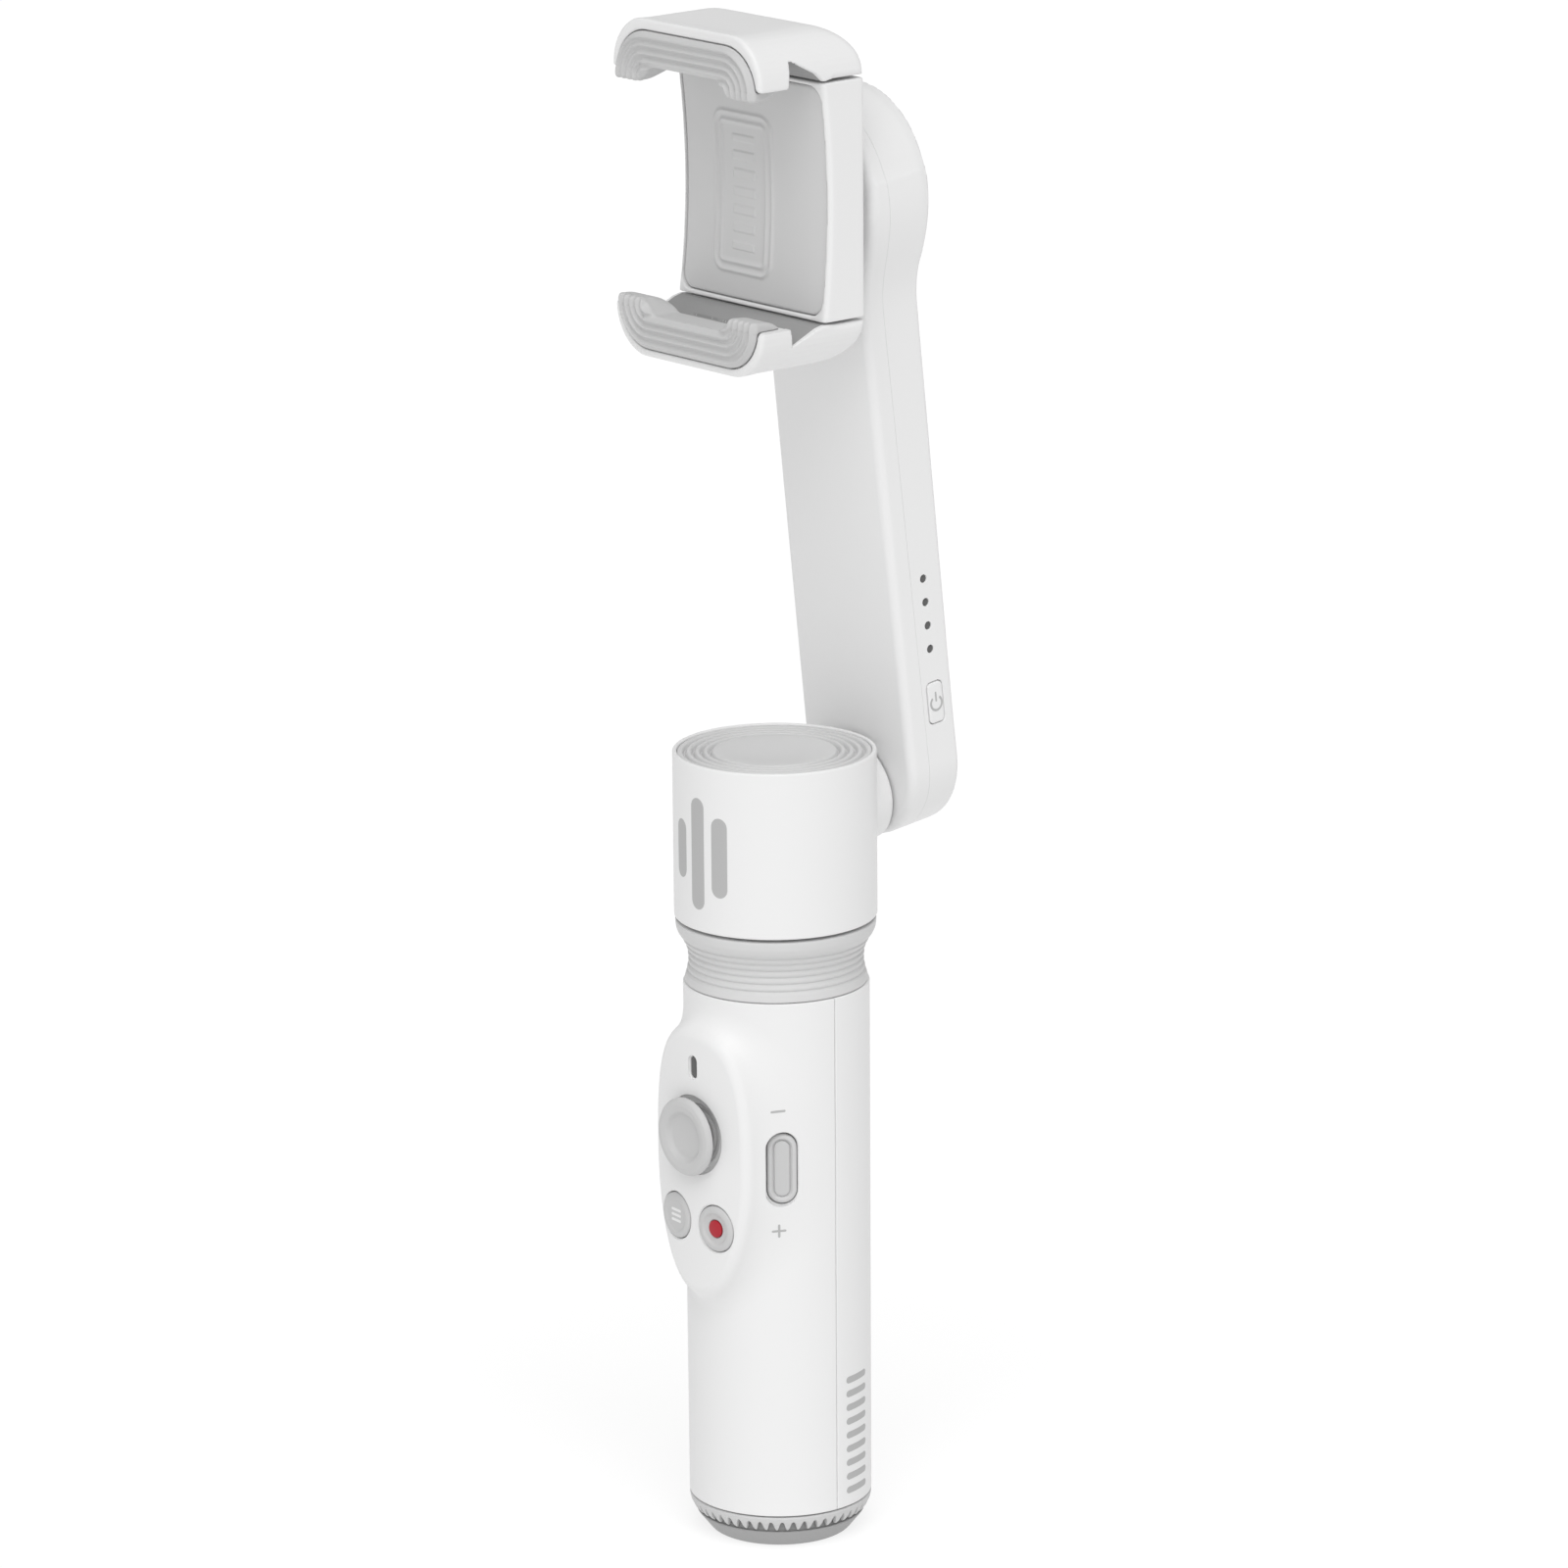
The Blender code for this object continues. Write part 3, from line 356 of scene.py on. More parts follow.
def filleted(points, radius, steps=4):
    """A closed outline with each corner rounded. radius is one number or one for each corner."""
    points = [Vector(p) for p in points]
    radii = radius if hasattr(radius, "__len__") else [radius] * len(points)
    made = []
    for i, corner in enumerate(points):
        before, after = points[i - 1] - corner, points[(i + 1) % len(points)] - corner
        half = before.angle(after) / 2 if before.length and after.length else math.pi / 2
        reach = min(radii[i] / max(math.tan(half), 1e-3), before.length * 0.49, after.length * 0.49)
        if reach < 1e-3 or half > math.radians(89):
            made.append(tuple(corner))
            continue
        a, b = corner + before.normalized() * reach, corner + after.normalized() * reach
        true = reach * math.tan(half)
        center = corner + (before.normalized() + after.normalized()).normalized() * (true / math.sin(half))
        start, end = a - center, b - center
        for step in range(steps + 1):
            share = step / steps
            spot = start.lerp(end, share)
            made.append(tuple(center + spot.normalized() * true))
    return made


def turned(profile, segments=128, place=None):
    """A closed outline of (radius, height) points spun round Z."""
    rings = np.array(profile, float)
    angles = np.arange(segments) * math.tau / segments
    points, first = [], []
    for r, h in rings:
        first.append(len(points))
        if r < 1e-6:
            points.append((0.0, 0.0, h))
        else:
            points += [(r * math.cos(a), r * math.sin(a), h) for a in angles]
    faces = []
    for i in range(len(rings)):
        j = (i + 1) % len(rings)
        flat_i, flat_j = rings[i][0] < 1e-6, rings[j][0] < 1e-6
        if flat_i and flat_j:
            continue
        for k in range(segments):
            m = (k + 1) % segments
            a = [first[i]] if flat_i else [first[i] + m, first[i] + k]
            b = [first[j]] if flat_j else [first[j] + k, first[j] + m]
            faces.append(a + b)
    return tidy(mesh_of(points, faces, None, place))


def lofted(rings, place=None):
    """Rings of equal numbers of 3-D points, joined in order and capped at both ends."""
    count = len(rings[0])
    points = [p for ring in rings for p in ring]
    faces = [list(range(count))[::-1], list(range(len(points) - count, len(points)))]
    for row in range(len(rings) - 1):
        for i in range(count):
            j = (i + 1) % count
            faces.append([row * count + i, row * count + j, (row + 1) * count + j, (row + 1) * count + i])
    return tidy(mesh_of(points, faces, None, place))


def prism(flat, low, high, place, edge=0.0):
    """An outline of (x, z) points extruded along Y, with a small chamfer where edge is set."""
    middle = np.mean(flat, 0)
    size = np.maximum(np.abs(np.array(flat) - middle).max(0), 1e-6)
    inner = [tuple(middle + (np.array(p) - middle) * (1 - edge / size)) for p in flat]
    levels = [(flat, low), (flat, high)]
    if edge:
        levels = [(inner, low), (flat, low + edge), (flat, high - edge), (inner, high)]
    return lofted([[(x, y, z) for x, z in points] for points, y in levels], place)


def tidy(mesh, angle=35.0):
    """Merges doubled points, turns the faces outwards and marks the sharp edges."""
    shape = bmesh.new()
    shape.from_mesh(mesh)
    bmesh.ops.remove_doubles(shape, verts=shape.verts, dist=1e-7)
    bmesh.ops.recalc_face_normals(shape, faces=shape.faces)
    shape.to_mesh(mesh)
    shape.free()
    mesh.shade_smooth()
    mesh.set_sharp_from_angle(angle=math.radians(angle))
    return mesh


def combined(mesh, tools, operation="DIFFERENCE"):
    """The mesh after a Boolean with each tool mesh."""
    thing = bpy.data.objects.new("step", mesh)
    bpy.context.scene.collection.objects.link(thing)
    used = []
    for tool in tools:
        other = bpy.data.objects.new("tool", tool)
        bpy.context.scene.collection.objects.link(other)
        step = thing.modifiers.new("step", "BOOLEAN")
        step.operation, step.object, step.solver = operation, other, "EXACT"
        used.append(other)
    bpy.context.view_layer.update()
    result = bpy.data.meshes.new_from_object(thing.evaluated_get(bpy.context.evaluated_depsgraph_get()))
    for other in used + [thing]:
        bpy.data.objects.remove(other)
    return tidy(result)


def polished(mesh, solid, angle=35.0):
    """Gives the corners that lie on the solid's surface its own normals."""
    count = len(mesh.loops)
    normals, owner = np.empty(count * 3, np.float32), np.empty(count, np.int32)
    mesh.corner_normals.foreach_get("vector", normals)
    mesh.loops.foreach_get("vertex_index", owner)
    spots = np.empty(len(mesh.vertices) * 3, np.float32)
    mesh.vertices.foreach_get("co", spots)
    flat = np.empty(len(mesh.polygons) * 3, np.float32)
    mesh.polygons.foreach_get("normal", flat)
    totals = np.empty(len(mesh.polygons), np.int32)
    mesh.polygons.foreach_get("loop_total", totals)
    value, gradient = slope(solid, spots.reshape(-1, 3).astype(float) / MM)
    gradient /= np.maximum(np.linalg.norm(gradient, axis=1, keepdims=True), 1e-9)
    own = gradient[owner]
    facing = (own * np.repeat(flat.reshape(-1, 3), totals, 0)).sum(1)
    on = (np.abs(value[owner]) < 0.01) & (facing > math.cos(math.radians(angle)))
    normals = normals.reshape(-1, 3)
    normals[on] = own[on]
    mesh.normals_split_custom_set(normals.tolist())
    return mesh


def strip(spots, place, low=-0.15, high=0.03):
    """A thin closed mark: rows of (s, t) points laid on a surface by place(s, t, height)."""
    rows, columns = len(spots), len(spots[0])
    points = [place(s, t, h) for h in (low, high) for row in spots for s, t in row]
    at = lambda level, i, j: (level * rows + i) * columns + j
    faces = []
    for i in range(rows - 1):
        for j in range(columns - 1):
            faces.append([at(1, i, j), at(1, i + 1, j), at(1, i + 1, j + 1), at(1, i, j + 1)])
            faces.append([at(0, i, j + 1), at(0, i + 1, j + 1), at(0, i + 1, j), at(0, i, j)])
    edge = [(0, j) for j in range(columns)] + [(i, columns - 1) for i in range(1, rows)]
    edge += [(rows - 1, j) for j in range(columns - 2, -1, -1)] + [(i, 0) for i in range(rows - 2, 0, -1)]
    for a, b in zip(edge, edge[1:] + edge[:1]):
        faces.append([at(0, *a), at(0, *b), at(1, *b), at(1, *a)])
    return tidy(mesh_of(points, faces))


def bar(length, width, rows=16, columns=8):
    """A round-ended bar along s as rows of (s, t) points."""
    radius, made = width / 2, []
    for i in range(rows + 1):
        s = -length / 2 * math.cos(math.pi * i / rows)
        over = max(abs(s) - (length / 2 - radius), 0.0)
        half = math.sqrt(max(radius * radius - over * over, 1e-4))
        made.append([(s, half * (2 * j / columns - 1)) for j in range(columns + 1)])
    return made


def piece(name, mesh, body, slot, *replaced):
    mesh.name = name
    thing = bpy.data.objects.new(name, mesh)
    bpy.context.scene.collection.objects.link(thing)
    mesh.materials.clear()
    mesh.materials.append(paints[slot])
    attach(thing, body)
    if replaced:
        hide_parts(*replaced)
    return thing


def turn_y(z):
    """Lays a shape turned about Z with its axis along +Y at this height."""
    return Matrix.Translation((0.0, 0.0, z)) @ Matrix.Rotation(-math.pi / 2, 4, "X")


# ------------------------------------------------------------------------ handle


def egg(count=96):
    """The panel's outline: squarer above its middle, rounder below."""
    points = []
    for i in range(count):
        c, s = math.cos(math.tau * i / count), math.sin(math.tau * i / count)
        power = 2.8 if s > 0 else 2.1
        height = PANEL_TOP - PANEL_MIDDLE if s > 0 else PANEL_MIDDLE - PANEL_BOTTOM
        x = math.copysign(abs(c) ** (2 / power), c) * PANEL_HALF
        points.append((x, PANEL_MIDDLE + math.copysign(abs(s) ** (2 / power), s) * height))
    return points


egg_distance = outline(egg())


def tube_radius(z):
    return HANDLE_R[0] + (HANDLE_R[1] - HANDLE_R[0]) * (z - HANDLE_LOW) / (HANDLE_HIGH - HANDLE_LOW)


def handle_solid(x, y, z):
    """The round handle with the bulge of its panel."""
    tube = np.hypot(x, y) - tube_radius(z)
    panel = thick(egg_distance(x, z) - 0.5, y - x * x / (2 * PANEL_CURVE), PANEL_Y, 0.0, 1.6)
    return join(tube, panel, 5.0)


def handle_radius(turn, z):
    """The distance from the axis to the handle's surface."""
    low, high = 15.0, 26.0
    for _ in range(24):
        middle = (low + high) / 2
        spot = np.array([middle * math.cos(turn), middle * math.sin(turn), z])
        low, high = (middle, high) if handle_solid(*spot) < 0 else (low, middle)
    return low


def shell(solid, inner, turns, heights, edge=0.25):
    """Part of a tube round Z whose outside is the solid's surface, with softened ends and sides."""
    turns, heights = np.array(turns), np.array(heights)
    low = np.full((len(heights), len(turns)), inner - 1.0)
    high = np.full((len(heights), len(turns)), inner + 12.0)
    c, s, z = np.cos(turns)[None, :], np.sin(turns)[None, :], heights[:, None]
    for _ in range(30):
        middle = (low + high) / 2
        outside = solid(middle * c, middle * s, z + 0 * middle) > 0
        high, low = np.where(outside, middle, high), np.where(outside, low, middle)
    radius = (low + high) / 2
    ends = np.minimum(heights - heights[0], heights[-1] - heights)[:, None]
    sides = (np.minimum(turns - turns[0], turns[-1] - turns) * inner)[None, :]
    near = np.clip(edge - np.minimum(ends, sides), 0, edge)
    radius = radius - (edge - np.sqrt(edge * edge - near * near))
    rows, columns = radius.shape
    outer = np.stack([radius * c, radius * s, z + 0 * radius], -1).reshape(-1, 3)
    inside = np.stack([inner * c + 0 * radius, inner * s + 0 * radius, z + 0 * radius], -1).reshape(-1, 3)
    points = np.concatenate([outer, inside])
    at = lambda level, i, j: (level * rows + i) * columns + j
    faces = []
    for i in range(rows - 1):
        for j in range(columns - 1):
            faces.append([at(0, i, j), at(0, i, j + 1), at(0, i + 1, j + 1), at(0, i + 1, j)])
            faces.append([at(1, i + 1, j), at(1, i + 1, j + 1), at(1, i, j + 1), at(1, i, j)])
    rim = [(0, j) for j in range(columns)] + [(i, columns - 1) for i in range(1, rows)]
    rim += [(rows - 1, j) for j in range(columns - 2, -1, -1)] + [(i, 0) for i in range(rows - 2, 0, -1)]
    for a, b in zip(rim, rim[1:] + rim[:1]):
        faces.append([at(0, *b), at(0, *a), at(1, *a), at(1, *b)])
    return tidy(mesh_of(points, faces))


def spread(*stops):
    """Numbers from stop to stop: (start, end, steps) ranges joined, each end shared."""
    made = []
    for start, end, steps in stops:
        made += [start + (end - start) * i / steps for i in range(steps)]
    return made + [stops[-1][1]]


def key_place(side):
    turn = Matrix.Rotation(side * KEY_TILT, 4, "Z") @ Matrix.Rotation(math.pi / 2, 4, "X")
    return Matrix.Translation((0.0, PANEL_Y + PANEL_CURVE, KEY_Z)) @ turn


def stick_place():
    return Matrix.Translation((0.0, 0.0, STICK_Z)) @ Matrix.Rotation(math.pi / 2, 4, "X")


def rocker_place():
    return Matrix.Translation((0.0, 0.0, ROCKER_Z)) @ Matrix.Rotation(ROCKER_TURN + math.pi / 2, 4, "Z")


def well(radius, floor, top, lip):
    """A round cutter along Z that flares by lip where it leaves the surface at top."""
    flare = [(radius + lip * (1 - math.cos(a)), top - lip + lip * math.sin(a))
             for a in spread((0.0, math.pi / 2, 5))]
    return [(0.0, floor), (radius, floor)] + flare + [(radius + lip, top + 6.0), (0.0, top + 6.0)]


def slot_cutter(half_x, half_z, corner, face, floor, lip):
    """A round-cornered cutter along -Y that flares by lip at the depth called face."""
    rings = []
    levels = [(floor, 0.0)]
    levels += [(face + lip - lip * math.sin(a), lip * (1 - math.cos(a)))
               for a in spread((0.0, math.pi / 2, 5))]
    levels.append((face - 6.0, lip))
    for y, grow in levels:
        flat = filleted(oblong(half_x + grow, half_z + grow), corner + grow, 8)
        rings.append([(x, y, z) for x, z in flat])
    return rings


def make_handle():
    low, high = HANDLE_LOW + HANDLE_RIM, 105.9
    panel_low, panel_high = 44.0, 104.5
    heights = spread((HANDLE_LOW, low, 4), (low, panel_low, 20), (panel_low, panel_high, 150),
                     (panel_high, high, 3), (high, HANDLE_HIGH, 4))
    seam_start, seam_end = 180.0 + SEAM + SEAM_HALF, 360.0 - SEAM - SEAM_HALF
    stops = (seam_start, seam_start + 0.9, 222.0, 318.0, seam_end - 0.9, seam_end)
    turns = spread(*zip(stops, stops[1:], (4, 30, 110, 30, 4)))
    front = shell(handle_solid, HANDLE_INNER, [math.radians(turn) for turn in turns], heights)
    dish = [(0.0, 13.4), (STICK_BORE, 13.4), (STICK_BORE, 18.85), (6.4, 18.85), (7.2, 19.45), (7.55, 20.15),
            (7.6, 26.0), (0.0, 26.0)]
    window_slot = slot_cutter(1.0, 2.1, 0.98, PANEL_Y + 0.02, -14.0, 0.2)
    rocker_slot = slot_cutter(2.83, 6.88, 2.8, -17.2, -14.0, 0.3)
    cutters = [
        turned(filleted(dish, [0, 0, 0.2, 0.3, 0.3, 0.3, 0, 0], 4), 96, stick_place()),
        lofted(window_slot, Matrix.Translation((0.0, 0.0, WINDOW_Z))),
        lofted(rocker_slot, rocker_place()),
    ]
    key_well = well(KEY_R + 0.15, PANEL_CURVE - 8.0, PANEL_CURVE - 0.02, 0.25)
    for side in (-1, 1):
        cutters.append(turned(key_well, 72, key_place(side)))
    front = polished(combined(front, cutters), handle_solid)
    piece("handle_front", front, "handle", "white_plastic", "handle_front_shell")

    seam_start, seam_end = SEAM_HALF - SEAM, 180.0 + SEAM - SEAM_HALF
    stops = (seam_start, seam_start + 0.9, seam_end - 0.9, seam_end)
    turns = spread(*zip(stops, stops[1:], (4, 120, 4)))
    heights = spread((HANDLE_LOW, low, 4), (low, high, 40), (high, HANDLE_HIGH, 4))
    rear = shell(handle_solid, HANDLE_INNER, [math.radians(turn) for turn in turns], heights)
    piece("handle_rear", polished(rear, handle_solid), "handle", "white_plastic", "handle_rear_shell")
    cap = [(8.7, 104.4), (15.2, 104.4), (15.2, 105.7), (8.7, 105.7)]
    piece("handle_cap", turned(cap), "handle", "grey_rubber")


def make_foot():
    foot = [(5.1, 0.0), (13.0, 0.0), (15.85, FOOT_TOP), (15.0, FOOT_TOP), (15.0, 6.0), (14.2, 6.0),
            (14.2, FOOT_TOP), (5.1, FOOT_TOP)]
    foot = filleted(foot, [0.2, 1.2, 0.3, 0, 0.1, 0.1, 0, 0.2], 6)
    piece("foot_cap", turned(foot), "handle", "dark_foot", "base_foot")
    low, high = 3.8, 6.85

    def ring(x, y, z):
        radius, turn = np.hypot(x, y), np.arctan2(y, x)
        flank = radius - np.interp(z, (low, 4.6, 5.6, 6.8), (15.7, 16.35, 16.8, 17.05))
        body = meet(flank, np.abs(z - (low + high) / 2) - (high - low) / 2, 0.5)
        body = meet(body, np.interp(z, (6.0, 6.15), (15.1, 12.6)) - radius, 0.1)
        across = (np.mod(turn * NOTCHES / math.tau, 1.0) - 0.5) * math.tau * 16.2 / NOTCHES
        wedge = meet(np.abs(across) - 0.85 + 0.3 * (z - low), z - low - 2.1, 0.5)
        notch = thick(wedge, radius, 14.0, 19.0, 0.2)
        return cut(body, notch, 0.25)

    mesh = net_mesh(ring, (-17.6, -17.6, 3.0), (17.6, 17.6, 7.2), 0.22)
    piece("grip_ring", mesh, "handle", "pale_ring", "base_ring")


def make_stick():
    cap = [(0.0, 14.0), (2.3, 14.0), (2.3, 20.6), (5.2, 20.6), (7.35, 21.8), (7.35, 22.35), (6.85, 22.95)]
    cap += [(6.0, 23.1), (4.8, 22.9), (4.0, 22.0), (0.0, 21.7)]
    cap = filleted(cap, [0, 0, 0.3, 0.3, 0.25, 0.5, 0.5, 0.8, 0.7, 0.7, 0], 5)
    piece("thumb_stick", turned(cap, 96, stick_place()), "joystick", "grey_rubber", "joystick_cap")
    boot = filleted([(3.2, 18.0), (5.55, 18.0), (5.55, 18.6), (5.0, 18.7), (4.5, 18.4), (3.9, 18.7),
                     (3.2, 18.5)], [0, 0, 0, 0.2, 0.2, 0.2, 0], 4)
    piece("stick_boot", turned(boot, 96, stick_place()), "handle", "grey_rubber")


def make_keys():
    rim, face = KEY_R, KEY_FACE
    tip, back = face - 6.1, face - 3.7
    common = [(0.0, tip), (1.6, tip), (1.6, back), (rim, back), (rim, face - 0.25), (rim - 0.8, face)]
    plain = filleted(common + [(rim - 1.1, face), (rim - 1.5, face - 0.25), (0.0, face - 0.3)],
                     [0, 0, 0, 0.2, 0.4, 0.5, 0.3, 0.4, 0], 4)
    middle = [(3.1, face), (2.7, face - 0.35), (1.75, face - 0.4), (1.75, face - 0.8), (0.0, face - 0.8)]
    ringed = filleted(common + middle, [0, 0, 0, 0.2, 0.4, 0.5, 0.3, 0.3, 0.1, 0, 0], 4)
    piece("mode_key_cap", turned(plain, 72, key_place(-1)), "mode_key", "grey_rubber", "mode_button")
    piece("record_key_cap", turned(ringed, 72, key_place(1)), "record_key", "grey_rubber", "record_button")
    dot = [(0.0, face - 0.7), (1.6, face - 0.7), (1.6, face - 0.15), (0.0, face - 0.02)]
    dot = filleted(dot, [0, 0, 0.15, 0], 4)
    piece("record_spot", turned(dot, 48, key_place(1)), "record_key", "red_mark", "record_dot")
    mark = key_place(-1)
    for i in range(3):
        spot = lambda s, t, h, i=i: mark @ Vector((s, t + 1.0 * (i - 1), face - 0.28 + h))
        piece(f"mode_mark_{i + 1}", strip(bar(3.0, 0.5), spot), "mode_key", "white_plastic")


def make_rocker():
    def capsule(half_x, half_z, levels):
        rings = []
        for y, inset in levels:
            x, z = half_x - inset, half_z - inset
            flat = filleted(oblong(x, z), max(x - 0.08, 0.2), 10)
            rings.append([(px, y, pz) for px, pz in flat])
        return lofted(rings, rocker_place())

    rim = ((-12.8, 0.0), (-17.2, 0.0), (-17.45, 0.06), (-17.65, 0.22), (-17.74, 0.5), (-17.72, 0.75),
           (-17.55, 0.95), (-17.3, 1.1), (-17.15, 1.2), (-17.1, 1.6))
    piece("zoom_rocker_cap", capsule(2.72, 6.6, rim), "zoom_key", "pale_ring", "zoom_rocker")
    bed = ((-16.9, 0.0), (-17.3, 0.0), (-17.42, 0.08), (-17.48, 0.3), (-17.5, 0.6))
    piece("zoom_rocker_pad", capsule(1.42, 5.3, bed), "zoom_key", "grey_rubber")

    def wrap(z0):
        def spot(s, t, h):
            turn = math.radians(-40.0) + t / HANDLE_R[1]
            radius = handle_radius(turn, z0 + s) + h
            return Vector((radius * math.cos(turn), radius * math.sin(turn), z0 + s))
        return spot

    flat_bar = [[(t, s) for s, t in row] for row in bar(2.6, 0.42)]
    piece("zoom_mark_out", strip(flat_bar, wrap(86.2)), "handle", "mark_grey")
    piece("zoom_mark_in_a", strip(flat_bar, wrap(63.1)), "handle", "mark_grey")
    piece("zoom_mark_in_b", strip(bar(2.6, 0.42), wrap(63.1), high=0.034), "handle", "mark_grey")


def make_window():
    rings = []
    for y, inset in ((-17.2, 0.0), (PANEL_Y + 0.35, 0.0), (PANEL_Y + 0.2, 0.08), (PANEL_Y + 0.14, 0.25)):
        x, z = 0.85 - inset, 1.95 - inset
        rings.append([(px, y, pz) for px, pz in filleted(oblong(x, z), x - 0.02, 8)])
    mesh = lofted(rings, Matrix.Translation((0.0, 0.0, WINDOW_Z)))
    piece("status_window", mesh, "handle", "dark_window", "status_light_window")


def make_rods():
    for stage in range(1, 5):
        low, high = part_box(f"rod_stage_{stage}")
        inner, outer = high.x * 1000 - ROD_WALL, high.x * 1000
        low, high = low.z * 1000, high.z * 1000
        flat = filleted([(inner, low), (outer, low), (outer, high), (inner, high)], 0.15, 3)
        body = "neck" if stage == 4 else f"rod_{stage}"
        piece(f"rod_tube_{stage}", turned(flat, 72), body, "steel", f"rod_stage_{stage}")


# ------------------------------------------------------------------- neck and head


def make_neck():
    heights = spread((106.32, 118.2, 120))
    waist = np.interp(heights, (106.32, 108.2, 110.0, 112.4, 114.4, 116.0, 117.0, 118.2),
                      (17.0, 16.5, 16.15, 16.3, 17.15, 18.2, 18.45, 18.5))
    waist = np.convolve(np.pad(waist, 6, mode="edge"), np.ones(13) / 13, "valid")
    profile = []
    for z, r in zip(heights, waist):
        wave = 0.5 - 0.5 * math.cos(math.tau * (z - 107.6) / 1.3) if 107.6 < z < 115.4 else 0.0
        ends = 0.3 - math.sqrt(max(0.09 - max(0.3 - min(z - 106.32, 118.2 - z), 0.0) ** 2, 0.0))
        profile.append((r - 0.34 * wave**2 - ends, z))
    profile = [(3.95, 106.32)] + profile + [(5.0, 118.2), (5.0, 115.5), (3.95, 115.5)]
    piece("collar", turned(profile, 128), "neck", "soft_grey", "neck_collar")


def hinge_line():
    tilt = Matrix.Rotation(LEAN - math.pi / 2, 4, "X")
    return Matrix.Translation((0.0, HINGE_Y, HINGE_Z)) @ tilt @ Matrix.Translation((0.0, 0.0, -HINGE_Y))


def head_solid(x, y, z):
    """The head's drum and the boss that carries the arm."""
    along = (y - HINGE_Y) * math.cos(LEAN) + (z - HINGE_Z) * math.sin(LEAN) + HINGE_Y
    across = np.hypot(x, (z - HINGE_Z) * math.cos(LEAN) - (y - HINGE_Y) * math.sin(LEAN))
    drum = thick(np.hypot(x, y) - HEAD_R, z, HEAD_LOW, HEAD_HIGH, 0.4)
    boss = thick(across - 9.7, along, 4.0, HINGE_Y - 0.4, 0.5)
    return np.minimum(drum, boss)


def make_head():
    recess, floor = 17.9, 147.9
    drum = [(0.0, HEAD_LOW), (HEAD_R, HEAD_LOW), (HEAD_R, HEAD_HIGH), (recess, HEAD_HIGH), (recess, floor),
            (0.0, floor)]
    drum = filleted(drum, [0, 0.4, 0.4, 0.35, 0.1, 0], 5)
    boss = filleted([(0.0, 4.0), (9.7, 4.0), (9.7, HINGE_Y - 0.4), (0.0, HINGE_Y - 0.4)], [0, 0.1, 0.5, 0], 5)
    head = combined(turned(drum, 160), [turned(boss, 96, hinge_line())], "UNION")
    piece("head_drum", polished(head, head_solid), "head", "white_plastic", "head_shell")

    radii = spread((17.8, 0.0, 170))
    grooved = []
    for r in radii:
        z = 149.7 - 0.9 * (1 - min(r / 10.8, 1.0) ** 2) ** 1.5
        for groove in (16.45, 14.9, 13.35, 11.8):
            z -= 0.85 * math.exp(-(((r - groove) / 0.31) ** 2))
        grooved.append((r, z))
    rim = [(0.0, 148.2), (17.8, 148.2), (17.8, 149.55)]
    piece("top_disc", turned(rim + grooved[2:], 144), "head", "soft_grey", "head_top_disc")

    def wrap(azimuth):
        def spot(s, t, h):
            turn = math.radians(azimuth) + t / HEAD_R
            return Vector(((HEAD_R + h) * math.sin(turn), -(HEAD_R + h) * math.cos(turn), 133.5 + s))
        return spot

    for i, (azimuth, length) in enumerate(((-15.5, 11.0), (0.5, 21.0), (16.5, 15.0))):
        piece(f"head_mark_{i + 1}", strip(bar(length, 3.4, 24, 10), wrap(azimuth)), "head", "mark_grey")


# ------------------------------------------------------------------------------ arm


def to_world():
    return Matrix.Translation((0.0, HINGE_Y, HINGE_Z)) @ Matrix.Rotation(LEAN, 4, "X")


def arm_flat(x, u, z):
    """The arm seen from the front: round foot, straight sides and the drum at its top."""
    half = 15.0 - 0.8 * np.clip((u - 5.8) / 84.2, 0, 1)
    sides = np.maximum(np.abs(x) - half, u - 113.0)
    foot = np.where(u < 5.8, np.hypot(x, u - 5.8) - 15.0, sides)
    return join(foot, np.hypot(x, z - ROLL_Z) - ROLL_R, 7.0)


def arm_solid(x, v, u):
    """The whole arm in its own leaning frame: x across, v from front to back, u along it."""
    y = HINGE_Y + v * math.cos(LEAN) - u * math.sin(LEAN)
    z = HINGE_Z + v * math.sin(LEAN) + u * math.cos(LEAN)
    drum_back = np.maximum(y - ROLL_Y[1], np.hypot(x, z - ROLL_Z) - ROLL_R)
    back = join(v - ARM_THICK - np.interp(u, (15.0, 92.0), (0.0, 1.2)), drum_back, 3.0)
    front = np.maximum(-v, 8.0 - y)
    edge = np.interp(v, (3.0, 9.0), (1.6, 1.0))
    a, b = arm_flat(x, u, z) + edge, np.maximum(front, back) + edge
    return np.minimum(np.maximum(a, b), 0.0) + np.hypot(np.maximum(a, 0.0), np.maximum(b, 0.0)) - edge


def arm_world(x, y, z):
    """The arm's solid at points of the object's frame."""
    dy, dz = y - HINGE_Y, z - HINGE_Z
    return arm_solid(x, dy * math.cos(LEAN) + dz * math.sin(LEAN), dz * math.cos(LEAN) - dy * math.sin(LEAN))


def side_cutter(half_v, half_u, corner, v, u, face, floor, lip, sign=1.0):
    """A slot cut into the arm's side at x = face."""
    rings = []
    levels = [(floor, 0.0)]
    levels += [(face - lip + lip * math.sin(a), lip * (1 - math.cos(a)))
               for a in spread((0.0, math.pi / 2, 5))]
    levels.append((face + 4.0, lip))
    for x, grow in levels:
        flat = filleted(oblong(half_v + grow, half_u + grow), corner + grow, 8)
        rings.append([(sign * x, v + p, u + q) for p, q in flat])
    return lofted(rings, to_world())


